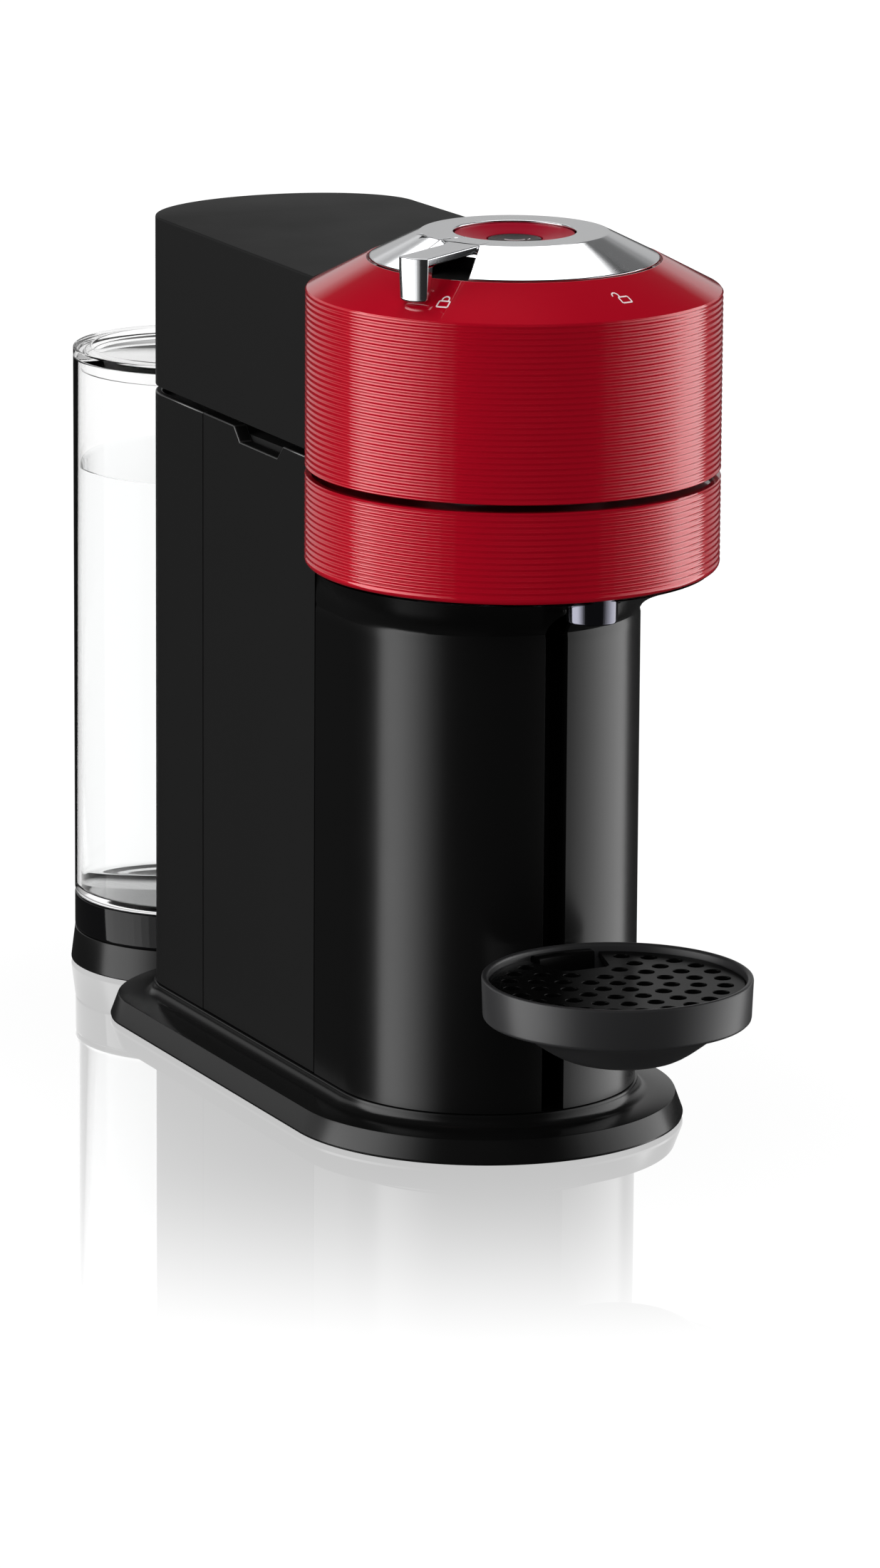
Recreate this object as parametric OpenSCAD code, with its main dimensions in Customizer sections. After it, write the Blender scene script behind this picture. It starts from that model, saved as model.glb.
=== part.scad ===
// Capsule espresso machine: a ribbed round head on a slim column body, with a
// clear round water tank behind it and a small cup tray in front.
// Inside every module, y is measured from the head's vertical axis, +Y to the rear.

/* [Head] */
// Radius of the ribbed head
head_r = 71; // [68:0.5:72]
// Height of the lower ring's bottom edge
ring_z = 200.2; // [199:0.1:201]
// Height where the head splits from the body
split_z = 232; // [231.5:0.1:232.5]
// Gap between the body and the opening head
split_gap = 2.4; // [2.2:0.1:2.8]
// Height of the rear cover's flat top
cover_z = 295.3; // [294:0.1:296]
// Wall of the moulded casings
wall = 2.5; // [2.2:0.1:2.8]

/* [Lever] */
// Outer radius of the lever ring
lever_r = 49.3; // [48:0.1:49.5]
// Height of the lever ring's flat top
lever_top = 315; // [314.5:0.1:316]
// Direction of the lever at rest, clockwise from the front, seen from above
lever_angle = 58.5; // [45:0.5:70]
// Width of the lever arm
arm_w = 11.4; // [9:0.2:13]

/* [Body] */
// Width of the body at the column
body_w = 107; // [104:1:108]
// Width of the body at the rear
rear_w = 100; // [96:1:102]
// Centre of the column's round front
column_y = 19.7; // [19:0.1:20.5]
// Start of the rounded rear end
rear_y = 176.5; // [176:0.1:177]
// Depth of the rounded rear end
rear_b = 33.8; // [33:0.1:34]
// Front seam, between the column and the side panels
seam_front = 45; // [44.8:0.1:45.2]
// Rear seam, between the side panels and the rear shell
seam_rear = 140; // [139:0.1:140.5]
// Width of the gap at each seam
seam_gap = 0.5; // [0.4:0.05:0.8]
// Top of the column, where it flares under the head
column_top = 182; // [180:0.5:183]
// Width of the slot that the cup tray hooks into
slot_w = 8.5; // [8:0.1:9]

/* [Base] */
// Height of the base's outer edge
base_edge_z = 9.3; // [8:0.1:10]
// Height of the collar that the body stands on
base_top = 14.2; // [13.5:0.1:15]
// Reach of the base beyond the body
base_reach = 16.8; // [15:0.1:17.5]

/* [Water tank] */
// Radius of the tank
tank_r = 43.6; // [42:0.1:44]
// Centre of the tank
tank_y = 258; // [257.5:0.1:259]
// Height of the stand that the tank sits on
stand_z = 13.3; // [12.5:0.1:14]
// Height of the closed lid
tank_top = 232.5; // [230:0.1:234]

/* [Cup tray] */
// Radius of the tray
tray_r = 46; // [44:0.1:46]
// Centre of the tray
tray_y = -80.2; // [-81:0.1:-80.2]
// Height of the tray's rim
tray_z = 73.3; // [70:0.1:76]
// Depth of the tray from its rim to the bottom of its bowl
tray_depth = 27.4; // [26:0.1:28]

/* [Capsule parts] */
// Inner radius of the capsule cup
cup_r = 30; // [29:0.1:30.5]
// Radius of the hinge pin
pin_r = 2.4; // [2.2:0.1:2.5]

/* [Spout] */
// Distance of the spout in front of the head's axis
spout_reach = 59; // [58:0.1:59]
// Height of the spout's lower end
spout_z = 191.2; // [190.5:0.1:192]
// Outer radius of the spout
spout_r = 8.7; // [8.5:0.1:8.8]

/* [Hidden] */
$fn = 96;
head_y = -88.5;               // the head's axis in the machine's own frame
shell_z = split_z + split_gap;
hinge = [196, 286];           // y and z of the head's hinge
run = 0.05;                   // radial clearance of turning fits
deck_z = 229;                 // top of the deck under the head
bin_top = 190;
stand_r = tank_r + 1.6;
grille_z = tray_z - 2.6;
bowl_y = tray_y - 4;            // centre and radius of the bottom of the tray's bowl
bowl_r = 16;
hole_pitch = 9.1;             // spacing of the drip holes and of their rings
nozzle_y = -spout_reach;
channel_front = nozzle_y - 7;   // front end of the coffee channel over the spout
ring_in = head_r - wall;        // inside of the ribbed walls
neck_r = head_r - 2.8;          // top of the flare, just inside the lower ring

// Outline of the body seen from above, grown outwards by d.
function plan(d) = concat(
    [for (i = [0:40]) let (a = 180 + i * 4.5, r = body_w / 2 + d) [r * cos(a), column_y + r * sin(a)]],
    [for (i = [0:30]) let (a = i * 6) [(rear_w / 2 + d) * cos(a), rear_y + (rear_b + d) * sin(a)]]);

module on_axis() { translate([0, head_y, 0]) children(); }
module slab(z0, z1, d = 0) { translate([0, 0, z0]) linear_extrude(z1 - z0) polygon(plan(d)); }
module tube(r1, r2, z0, z1) {
    translate([0, 0, z0]) difference() {
        cylinder(r = r1, h = z1 - z0);
        translate([0, 0, -1]) cylinder(r = r2, h = z1 - z0 + 2);
    }
}
module block(x, y, z) {
    translate([x[0], y[0], z[0]]) cube([x[1] - x[0], y[1] - y[0], z[1] - z[0]]);
}
// A casing wall that follows the body's outline between two heights.
module casing(z0, z1, t = wall) {
    difference() {
        slab(z0, z1);
        slab(z0 - 1, z1 + 1, -t);
    }
}
// The part of its children between two values of y.
module between_y(y0, y1) {
    intersection() {
        children();
        block([-100, 100], [y0, y1], [-1, 400]);
    }
}
module pipe(a, b, r) {
    v = b - a;
    translate(a) rotate([0, acos(v[2] / norm(v)), atan2(v[1], v[0])])
        cylinder(r = r, h = norm(v), $fn = 24);
}
module pipe_run(points, r) {
    for (i = [0:len(points) - 2]) pipe(points[i], points[i + 1], r);
    for (i = [1:len(points) - 2]) translate(points[i]) sphere(r = r * 1.01, $fn = 24);
}

// ---------- fixed body ----------

foot_places = [[-48, 0], [48, 0], [-46, 150], [46, 150], [0, 287]];
screw_places = [[-30, 20], [30, 20], [-34, 174], [34, 174]];

// Hollow under the base, with bosses left for the feet.
module base_recess() {
    difference() {
        union() {
            slab(-1, 4.5, 6);
            translate([0, tank_y, -1]) cylinder(r = 20, h = 5.5);
            block([-5, 5], [190, tank_y + 5], [-1, 8]);
        }
        for (p = foot_places) translate([p[0], p[1], -2]) cylinder(r = 9.5, h = 8);
    }
}
module base_plate() {
    color("#17171a") on_axis() difference() {
        union() {
            hull() {
                slab(0.8, 1.3, base_reach);
                slab(base_edge_z - 0.5, base_edge_z, base_reach - 2.9);
            }
            slab(base_edge_z - 1, base_edge_z + 2.2, 3.2);
            slab(base_edge_z - 1, base_top, 0.8);
            translate([0, tank_y, 0.8]) cylinder(r1 = stand_r, r2 = tank_r, h = stand_z - 0.8);
        }
        base_recess();
        for (p = foot_places) translate([p[0], p[1], -1]) cylinder(r = 7.2, h = 4);
        for (p = screw_places) translate([p[0], p[1], -1]) cylinder(r = 1.9, h = 20);
        translate([0, tank_y, 6]) cylinder(r = 12.2, h = 10);
        translate([0, 198, 0]) cylinder(r = 3.2, h = 20);
        block([-slot_w / 2, slot_w / 2], [-40, -10], [base_edge_z + 2.2, 20]);
    }
}

module foot_pads() {
    color("#2a2a2a") on_axis() for (p = foot_places) translate([p[0], p[1], 0]) cylinder(r = 7, h = 3);
}

module case_screws() {
    color("silver") on_axis() for (p = screw_places) translate([p[0], p[1], 2]) {
        cylinder(r = 3.4, h = 2.5);
        cylinder(r = 1.7, h = 14);
    }
}

// The straight slot down the front of the column, with a round top.
module slot_cut(z0, z1) {
    block([-slot_w / 2, slot_w / 2], [-60, -26], [z0, z1 - slot_w / 2]);
    translate([0, -26, z1 - slot_w / 2]) rotate([90, 0, 0]) cylinder(r = slot_w / 2, h = 34);
}

module column_shell() {
    color("#232326") on_axis() difference() {
        between_y(-60, seam_front - seam_gap / 2) casing(base_top, column_top);
        slot_cut(base_top - 1, column_top - 1);
    }
}

// The flare that carries the column's outline out to the round head.
module flare(t, z0, z1) {
    hull() {
        between_y(-60, seam_front) slab(z0, z0 + 0.2, -t);
        translate([0, 0, z1]) cylinder(r = neck_r - t, h = 0.2);
    }
}
module head_shoulder() {
    color("#232326") on_axis() between_y(-80, seam_front - seam_gap / 2) difference() {
        union() {
            flare(0, column_top, ring_z - 1.7);
            translate([0, 0, ring_z - 1.6]) cylinder(r = neck_r, h = 2.6);
        }
        flare(wall, column_top - 0.1, ring_z - 1.7);
        translate([0, 0, ring_z - 1.7]) cylinder(r = neck_r - wall, h = 5);
        translate([0, nozzle_y, 150]) cylinder(r = spout_r + 0.3, h = 80);
    }
}

module ring_profile(z0, z1, round_r) {
    polygon(concat([[ring_in, z0], [head_r - round_r, z0]],
        [for (a = [-75:15:0]) [head_r - round_r + round_r * cos(a), z0 + round_r + round_r * sin(a)]],
        [[head_r, z1], [ring_in, z1]]));
}
module lower_ring() {
    color("#b01025") on_axis() between_y(-80, seam_front - seam_gap / 2) union() {
        rotate_extrude() ring_profile(ring_z, split_z - 0.3, 2);
        // deck around the capsule cup
        tube(ring_in, cup_r + 7, deck_z - 3, deck_z);
    }
}

module right_panel() {
    color("#17171a") on_axis() between_y(seam_front + seam_gap / 2, seam_rear - seam_gap / 2)
        intersection() {
            casing(base_top, split_z);
            block([0, 80], [0, 200], [0, 300]);
        }
}

module rear_shell() {
    color("#17171a") on_axis() between_y(seam_rear + seam_gap / 2, 300) difference() {
        casing(base_top, split_z);
        translate([30, 190, 26]) rotate([-90, 0, 0]) cylinder(r = 5.2, h = 40);
    }
}

// Bulkheads either side of the bin bay, with the deck that ties them together.
module chassis() {
    color("#3a3a3e") on_axis() difference() {
        union() {
            between_y(41, 43.6) slab(base_top, deck_z - 4, -wall - 0.2);
            between_y(141.2, 143.8) slab(base_top, deck_z, -wall - 0.2);
            between_y(seam_front, 212) slab(deck_z - 3, deck_z, -wall - 0.2);
            block([46.4, 48], [43.6, 142], [base_top, deck_z - 4]);
            block([46.4, 48], [seam_front, 142], [base_top, deck_z]);
        }
        for (s = [0, 1]) mirror([s, 0, 0]) block([45.5, 80], [40, 43.6], [188, deck_z + 5]);
        block([-80, -46.4], [seam_front - 0.6, seam_rear + 0.6], [0, deck_z + 5]);
        for (y = [42, 142]) translate([41, y - 5, 208]) rotate([-90, 0, 0]) cylinder(r = 3.2, h = 10);
        block([-34, 34], [43.8, 128], [deck_z - 10, deck_z + 5]);
        block([-34, 34], [40, 44], [195, deck_z + 5]);
    }
}

// Two sloping arms from the rear bulkhead up to the hinge pin.
module sloping_arm(x0, x1) {
    difference() {
        translate([x0, hinge[0], hinge[1]]) rotate([90, 0, 90]) linear_extrude(x1 - x0) union() {
            circle(r = 5.5);
            polygon([[-3.6, 3.6], [3.6, -3.6], [-53.4, 3.6 - 57 - 3.6], [-60.6, 3.6 - 57 - 3.6]]);
        }
        translate([x0 - 1, hinge[0], hinge[1]]) rotate([0, 90, 0]) cylinder(r = pin_r, h = x1 - x0 + 2);
    }
}
module hinge_arms() {
    color("#8a8c90") on_axis() for (s = [0, 1]) mirror([s, 0, 0]) {
        sloping_arm(17, 22);
        block([14.5, 24.5], [132, 148], [deck_z, deck_z + 2.5]);
    }
}
module hinge_pin() {
    color("silver") on_axis() translate([-29, hinge[0], hinge[1]]) rotate([0, 90, 0])
        cylinder(r = pin_r, h = 58);
}

module slot_rail() {
    color("#0b0b0c") on_axis() difference() {
        block([-10, 10], [-30.1, -13], [base_top, 180]);
        block([-slot_w / 2, slot_w / 2], [-40, -26], [base_top - 1, 181]);
        block([-6.2, 6.2], [-27, -17], [base_top - 1, 181]);
    }
}

module outlet_nozzle() {
    color("#4a4a55") on_axis() translate([0, nozzle_y, 0]) difference() {
        translate([0, 0, spout_z]) cylinder(r = spout_r, h = 204 - spout_z);
        translate([0, 0, spout_z - 5]) cylinder(r = 3, h = 30);
        translate([0, 0, spout_z - 0.5]) cylinder(r1 = 6.5, r2 = 3, h = 5);
    }
}

// Bowl around the spinning cup that gathers the coffee and leads it to the nozzle.
module coffee_collector() {
    color("#55575c") on_axis() difference() {
        union() {
            rotate_extrude() polygon([[13, 201], [39.5, 201], [39.5, deck_z - 3], [36.5, deck_z - 3],
                [36.5, 204], [13, 204]]);
            block([-6, 6], [channel_front, -38], [204, 213]);
        }
        block([-3, 3], [nozzle_y - 3, -30], [206.5, 210.5]);
        translate([0, nozzle_y, 203]) cylinder(r = 3, h = 6);
    }
}
module cup_bearing() {
    color("silver") on_axis() tube(13, 8 + run, 199.5, 204);
}
module capsule_chute() {
    color("#2e2e31") on_axis() difference() {
        block([-36, 36], [44, 130], [bin_top + 3, deck_z - 3]);
        block([-33.5, 33.5], [30, 127.5], [bin_top, deck_z]);
    }
}

module pump() {
    color("#b9b4a2") on_axis() translate([-22, 160, 0]) {
        translate([0, 0, 60]) cylinder(r = 14, h = 42);
        translate([0, 0, 46]) cylinder(r = 8, h = 14);
        translate([0, 0, 102]) cylinder(r = 7, h = 20);
        translate([0, 0, 122]) cylinder(r = 3, h = 8);
        translate([0, 0, 40]) cylinder(r = 3, h = 6);
        block([-15.5, 15.5], [-10, 10], [62, 74]);
    }
}
module pump_mounts() {
    color("#202020") on_axis() translate([-22, 160, 0]) {
        tube(12, 8, 50, 56);
        tube(11, 7, 108, 114);
        for (z = [50, 108]) block([-4, 4], [-16.2, -10.4], [z, z + 6]);
    }
}
module thermoblock() {
    color("#a8abb0") on_axis() difference() {
        union() {
            translate([-20, 12, 60]) cylinder(r = 22, h = 70);
            block([-24, 24], [34 - 8, 41], [75, 115]);
            translate([-20, 12, 52]) cylinder(r = 4, h = 8);
            translate([-20, 12, 130]) cylinder(r = 4, h = 7);
        }
        translate([-20, 12, 45]) cylinder(r = 1.8, h = 14);
        translate([-20, 12, 131]) cylinder(r = 1.8, h = 14);
    }
}
module flow_meter() {
    color("#e8e6dc") on_axis() translate([20, 165, 30]) {
        cylinder(r = 13, h = 14);
        translate([0, 0, 14]) cylinder(r = 3, h = 8);
    }
}
module control_board() {
    color("#1f6b3a") on_axis() {
        block([6, 44], [143.8, 145.4], [80, 190]);
        block([12, 30], [145.4, 160], [150, 176]);
        block([14, 24], [145.4, 156], [92, 108]);
        translate([35, 145.4, 130]) rotate([-90, 0, 0]) cylinder(r = 6, h = 16);
    }
}
module cold_hose() {
    color("#d8d8d8") on_axis() {
        pipe_run([[20, 165, 52], [20, 165, 60], [0, 176, 62], [-14, 178, 32], [-22, 160, 32],
            [-22, 160, 40]], 2.6);
        pipe_run([[0, tank_y, 6], [0, tank_y, 3.5], [0, 198, 3.5], [0, 198, 30], [20, 188, 37],
            [20, 178, 37]], 2.4);
    }
}
module hot_hose() {
    color("#c9c4b8") on_axis()
        pipe_run([[-22, 160, 130], [-22, 160, 150], [41, 160, 208], [41, 34, 208], [30, 28, 185],
            [-20, 12, 160], [-20, 12, 137]], 2.6);
}
module cable_gland() {
    color("#101010") on_axis() translate([30, 200, 26]) rotate([-90, 0, 0]) difference() {
        union() {
            cylinder(r = 5, h = 12);
            translate([0, 0, 7]) cylinder(r = 6.6, h = 5);
        }
        translate([0, 0, -1]) cylinder(r = 3.2, h = 14);
    }
}
module valve_socket() {
    color("#d0d0d0") on_axis() translate([0, tank_y, 0]) difference() {
        translate([0, 0, 6]) cylinder(r = 12, h = stand_z - 6);
        translate([0, 0, 7.5]) cylinder(r = 8.2, h = 10);
        translate([0, 0, 10.5]) cylinder(r = 9.6, h = 1.4);
    }
}
module socket_seal() {
    color("#9a2222") on_axis() translate([0, tank_y, 10.6]) difference() {
        cylinder(r = 9.5, h = 1.2);
        translate([0, 0, -1]) cylinder(r = 7.6, h = 4);
    }
}

// ---------- opening head ----------

cone_slope = (306.1 - cover_z) / (head_r - lever_r - 0.9);

module upper_shell() {
    color("#b01025") on_axis() rotate_extrude() polygon([
        [ring_in, shell_z], [head_r, shell_z], [head_r, cover_z], [lever_r + 0.9, 306.1],
        [lever_r + 0.9, 303], [24, 303], [24, 300.6], [lever_r - 1, 300.6],
        [ring_in, cover_z - 1.8]]);
}

// Side view of the rear cover, grown inwards by t, with a rounded lower rear corner.
module cover_side(t) {
    back = rear_y + rear_b;
    low = shell_z - (t > 0 ? 5 : 0);
    r = 5;
    polygon(concat([[0, low], [back - r - t, low]],
        [for (a = [-75:15:0]) [back - t - r + r * cos(a), low + r + r * sin(a)]],
        [[back - t, cover_z - t], [0, cover_z - t]]));
}
module cover_solid(t) {
    intersection() {
        slab(shell_z - 10, cover_z + 1, -t);
        rotate([90, 0, 90]) translate([0, 0, -100]) linear_extrude(200) cover_side(t);
    }
}
module rear_cover() {
    color("#1c1c1f") on_axis() difference() {
        cover_solid(0);
        cover_solid(wall);
        translate([0, 0, 200]) cylinder(r = head_r + 0.05, h = 120);
    }
}

// Plate that closes the underside of the head and carries the motor.
module head_plate() {
    color("#2b2b2e") on_axis() tube(ring_in - 0.1, 36, 239, 242);
}
module cover_plate() {
    color("#2b2b2e") on_axis() difference() {
        between_y(40, 128) slab(239, 242, -wall - 0.1);
        translate([0, 0, 230]) cylinder(r = head_r + 0.2, h = 20);
    }
}

module hinge_brackets() {
    color("#8a8c90") on_axis() for (s = [0, 1]) mirror([s, 0, 0]) difference() {
        union() {
            translate([22.6, hinge[0], hinge[1]]) rotate([0, 90, 0]) cylinder(r = 5.5, h = 5.6);
            block([22.6, 28.2], [182, 199], [hinge[1] + 2.6, cover_z - wall]);
            block([22.6, 34], [150, 194], [cover_z - wall - 2.5, cover_z - wall]);
        }
        translate([20, hinge[0], hinge[1]]) rotate([0, 90, 0]) cylinder(r = pin_r + run, h = 10);
    }
}

module spin_motor() {
    color("#6f7277") on_axis() difference() {
        union() {
            translate([0, 0, 250]) cylinder(r = 27, h = 34);
            for (a = [45:90:315]) rotate([0, 0, a]) translate([40, 0, 242]) cylinder(r = 4, h = 10);
            for (a = [45, 135]) rotate([0, 0, a]) block([-44, 44], [-4, 4], [250, 253]);
        }
        translate([0, 0, 240]) cylinder(r = 6.5, h = 46);
    }
}
module head_bearing() {
    color("silver") on_axis() tube(12, 6 + run, 246, 250);
}
module lock_base() {
    color("#2b2b2e") on_axis() union() {
        tube(22, 17, 287, 302.5);
        translate([0, 0, 286]) cylinder(r = 30, h = 2);
        for (a = [0:90:270]) rotate([0, 0, a + 20]) block([29, ring_in - 0.2], [-3, 3], [286, 288]);
    }
}
module button_dish() {
    color("#b01025") on_axis() rotate_extrude() polygon([
        [9.6, 310], [14, 311.2], [18, 312.9], [20.4, 314.4], [20.4, 311], [19, 302.5],
        [9.6, 302.5]]);
}

// ---------- spinning parts ----------

module brew_plate() {
    color("#5d5f64") on_axis() difference() {
        union() {
            translate([0, 0, 235.5]) cylinder(r = 33.5, h = 3.5);
            translate([0, 0, 239]) cylinder(r1 = 16, r2 = 6, h = 6);
            translate([0, 0, 239]) cylinder(r = 6, h = 42);
        }
        for (a = [0:120:240]) rotate([0, 0, a]) translate([20, 0, 230]) cylinder(r = 1.3, h = 8);
        translate([0, 0, 230]) cylinder(r = 2.2, h = 8);
    }
}
module brew_seal() {
    color("#8c2b22") on_axis() tube(33, 27, 233.2, 235.5);
}
module needles() {
    color("silver") on_axis() {
        for (a = [0:120:240]) rotate([0, 0, a]) translate([20, 0, 0]) {
            translate([0, 0, 229]) cylinder(r = 1.3, h = 9);
            translate([0, 0, 226.5]) cylinder(r1 = 0.3, r2 = 1.3, h = 2.5);
        }
        translate([0, 0, 227]) cylinder(r = 2.2, h = 11);
    }
}
module capsule_cup() {
    color("#6a6c70") on_axis() rotate_extrude() polygon([
        [0, 197.5], [8, 197.5], [8, 206], [24, 207.5], [33, 218], [33, 227.5], [35.5, 229.5],
        [35.5, 231.6], [cup_r, 231.6], [cup_r, 219.5], [22.5, 210.5], [5, 209.5], [5, 213], [0, 213]]);
}

// ---------- lever and button ----------

module lever_ring() {
    inner = 20.9;
    flat = 32;
    low = 306.4;
    tip_r = 66.4;
    color("#d9dadd") on_axis() rotate([0, 0, -90 - lever_angle]) union() {
        difference() {
            rotate_extrude() polygon([[inner, lever_top - 3.4], [inner, lever_top], [flat, lever_top],
                [lever_r, low], [lever_r - 2.6, low], [flat - 1.2, lever_top - 3.4]]);
            block([flat - 3, lever_r + 1], [-arm_w / 2 - 0.4, arm_w / 2 + 7], [low - 1, lever_top - 2.2]);
            block([flat + 1.2, lever_r + 1], [arm_w / 2, arm_w / 2 + 7], [low - 1, lever_top + 1]);
        }
        block([flat - 5, tip_r - 2], [-arm_w / 2, arm_w / 2], [lever_top - 3.2, lever_top]);
        // finger, with a round front and a foot that follows the cone under it
        difference() {
            intersection() {
                block([tip_r - 5.2, tip_r], [-arm_w / 2, arm_w / 2], [lever_top - 16.4, lever_top]);
                translate([tip_r - 12, 0, 0]) cylinder(r = 12, h = 400);
            }
            rotate_extrude() polygon([[lever_r, 290], [head_r + 5, 290], [head_r + 5, cover_z - 2],
                [head_r, cover_z + 0.6], [lever_r, cover_z + 0.6 + cone_slope * (head_r - lever_r)]]);
        }
    }
}
module lock_collar() {
    color("#202022") on_axis() union() {
        tube(lever_r - 2.9, 22.3, 303.3, 305.3);
        tube(26, 22.3, 305.3, lever_top - 3.4);
        for (a = [0:60:300]) rotate([0, 0, a]) block([25.5, 29], [-1.5, 1.5], [305.3, lever_top - 3.4]);
    }
}
module button_cap() {
    color("#101012") on_axis() union() {
        translate([0, 0, 302]) cylinder(r = 9.2, h = 8);
        translate([0, 0, 297.5]) cylinder(r = 3, h = 5);
    }
}
module button_spring() {
    color("silver") on_axis() for (k = [0:4]) translate([0, 0, 288.65 + k * 3.17])
        rotate_extrude($fn = 48) translate([6, 0]) circle(r = 0.6, $fn = 16);
}

// ---------- cup tray ----------

module tray_recess(z0, z1) {
    translate([0, tray_y, z0]) linear_extrude(z1 - z0)
        polygon([[-9, 24], [-6, 21], [6, 21], [9, 24], [15, 50], [-15, 50]]);
}
module drip_tray() {
    color("#4b4b4e") on_axis() difference() {
        union() {
            translate([0, tray_y, tray_z - 14.4]) cylinder(r1 = tray_r - 0.6, r2 = tray_r, h = 14.4);
            hull() {
                translate([0, tray_y, tray_z - 14.6]) cylinder(r = tray_r - 1.4, h = 0.4);
                translate([0, bowl_y, tray_z - tray_depth]) cylinder(r = bowl_r, h = 0.4);
            }
        }
        translate([0, tray_y, tray_z - 12.4]) cylinder(r = tray_r - 4, h = 20);
        translate([0, tray_y, grille_z - 2]) cylinder(r = tray_r - 2.4, h = 20);
        hull() {
            translate([0, tray_y, tray_z - 12.5]) cylinder(r = tray_r - 4, h = 0.4);
            translate([0, bowl_y, tray_z - tray_depth + 2]) cylinder(r = bowl_r - 2, h = 0.4);
        }
    }
    // lip at the rear, for a fingertip
    color("#4b4b4e") on_axis() translate([0, tray_y, 0]) intersection() {
        translate([0, 0, tray_z - 8]) cylinder(r = tray_r - 1.5, h = 7);
        block([-11.4, 11.4], [38, 50], [tray_z - 8, tray_z - 1.4]);
    }
}
module tray_hook() {
    color("#2b2b2e") on_axis() {
        block([-3.8, 3.8], [-33.9, -24], [tray_z - 22, tray_z - 6]);
        block([-5.8, 5.8], [-26.5, -17.6], [tray_z - 22, tray_z - 6]);
        block([-3.8, 3.8], [tray_y + tray_r - 1.6, -33.5], [tray_z - 13, tray_z - 6]);
    }
}
module tray_grille() {
    color("#101012") on_axis() difference() {
        translate([0, tray_y, grille_z - 2]) cylinder(r = tray_r - 2.8, h = 2);
        tray_recess(grille_z - 5, grille_z + 5);
        translate([0, tray_y, grille_z - 5]) {
            cylinder(r = 2.8, h = 10, $fn = 24);
            for (k = [1:4], i = [0:6 * k - 1]) {
                a = 90 + i * 60 / k;
                p = hole_pitch * k * [cos(a), sin(a)];
                if (p[1] < 17 || abs(p[0]) > 13 + 0.23 * (p[1] - 24))
                    translate([p[0], p[1], 0]) cylinder(r = 2.8, h = 10, $fn = 24);
            }
        }
    }
}

// ---------- water tank ----------

module tank_shell() {
    color("#dfe9ee", 0.35) on_axis() translate([0, tank_y, 0]) difference() {
        translate([0, 0, 26.8]) cylinder(r = tank_r, h = tank_top - 3.5 - 26.8);
        translate([0, 0, 29.2]) cylinder(r = tank_r - 1.8, h = 220);
        translate([0, 0, 20]) cylinder(r = 6, h = 20);
    }
}
module tank_collar() {
    color("#2a2c2e", 0.8) on_axis() translate([0, tank_y, 0]) difference() {
        translate([0, 0, stand_z]) cylinder(r = tank_r, h = 26.8 - stand_z);
        translate([0, 0, stand_z + 2]) cylinder(r = tank_r - 2.4, h = 20);
        translate([0, 0, stand_z - 2]) cylinder(r = 7.3, h = 6);
    }
    color("#2a2c2e", 0.8) on_axis() translate([0, tank_y, 0]) tube(10, 7.3, stand_z, 26.8);
}
module tank_valve() {
    color("#c8c8cc") on_axis() translate([0, tank_y, 0]) difference() {
        union() {
            translate([0, 0, 8.6]) cylinder(r = 7.3, h = 18.2);
            translate([0, 0, 26.8]) cylinder(r = 5.9, h = 6);
        }
        translate([0, 0, 8]) cylinder(r = 2.6, h = 30);
    }
}
module tank_lid() {
    color("#dfe9ee", 0.5) on_axis() translate([0, tank_y, 0]) difference() {
        union() {
            translate([0, 0, tank_top - 3.5]) cylinder(r = tank_r, h = 3.5);
            translate([0, 0, tank_top - 8]) cylinder(r = tank_r - 2.2, h = 5);
        }
        translate([0, 0, tank_top - 9]) cylinder(r = tank_r - 4.2, h = 6.8);
        translate([0, 0, tank_top - 1.2]) cylinder(r = tank_r - 5, h = 5);
    }
}

// ---------- used capsule bin ----------

module capsule_bin() {
    x = [-47, 46];
    y = [seam_front + 1.2, seam_rear - 0.6];
    color("#1c1c1f") on_axis() difference() {
        block(x, y, [base_top + 0.6, bin_top]);
        block([x[0] + 2, x[1] - 2], [y[0] + 2, y[1] - 2], [base_top + 2.6, bin_top + 2]);
    }
}
module bin_panel() {
    notch_z = split_z - 5;
    color("#17171a") on_axis() difference() {
        between_y(seam_front + seam_gap / 2, seam_rear - seam_gap / 2) intersection() {
            slab(base_top + 0.5, split_z);
            block([-80, -47], [0, 200], [0, 300]);
        }
        translate([-80, 0, 0]) rotate([90, 0, 90]) linear_extrude(40)
            polygon([[72, split_z + 1], [77, notch_z], [108.5, notch_z], [113.5, split_z + 1]]);
    }
}

base_plate();
foot_pads();
case_screws();
column_shell();
head_shoulder();
lower_ring();
right_panel();
rear_shell();
chassis();
hinge_arms();
hinge_pin();
slot_rail();
outlet_nozzle();
coffee_collector();
cup_bearing();
capsule_chute();
pump();
pump_mounts();
thermoblock();
flow_meter();
control_board();
cold_hose();
hot_hose();
cable_gland();
valve_socket();
socket_seal();
upper_shell();
rear_cover();
head_plate();
cover_plate();
hinge_brackets();
spin_motor();
head_bearing();
lock_base();
button_dish();
brew_plate();
brew_seal();
needles();
capsule_cup();
lever_ring();
lock_collar();
button_cap();
button_spring();
drip_tray();
tray_hook();
tray_grille();
tank_shell();
tank_collar();
tank_valve();
tank_lid();
capsule_bin();
bin_panel();
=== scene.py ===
# %% [markdown]
# # A capsule espresso machine
# The machine is a slim black body with a ribbed red head at the front, a clear water tank behind and a
# small cup tray. The mechanism is a finished model already, so this lesson starts by loading it as a
# fixed frame: every size and place below comes from that frame, and every new piece moves with one of
# its bodies. What is left for Blender is the skin: fine edges, ribs, holes, finishes and light.

# %% Load the frame
import math

import bmesh
import bpy
from mathutils import Matrix, Vector


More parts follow.
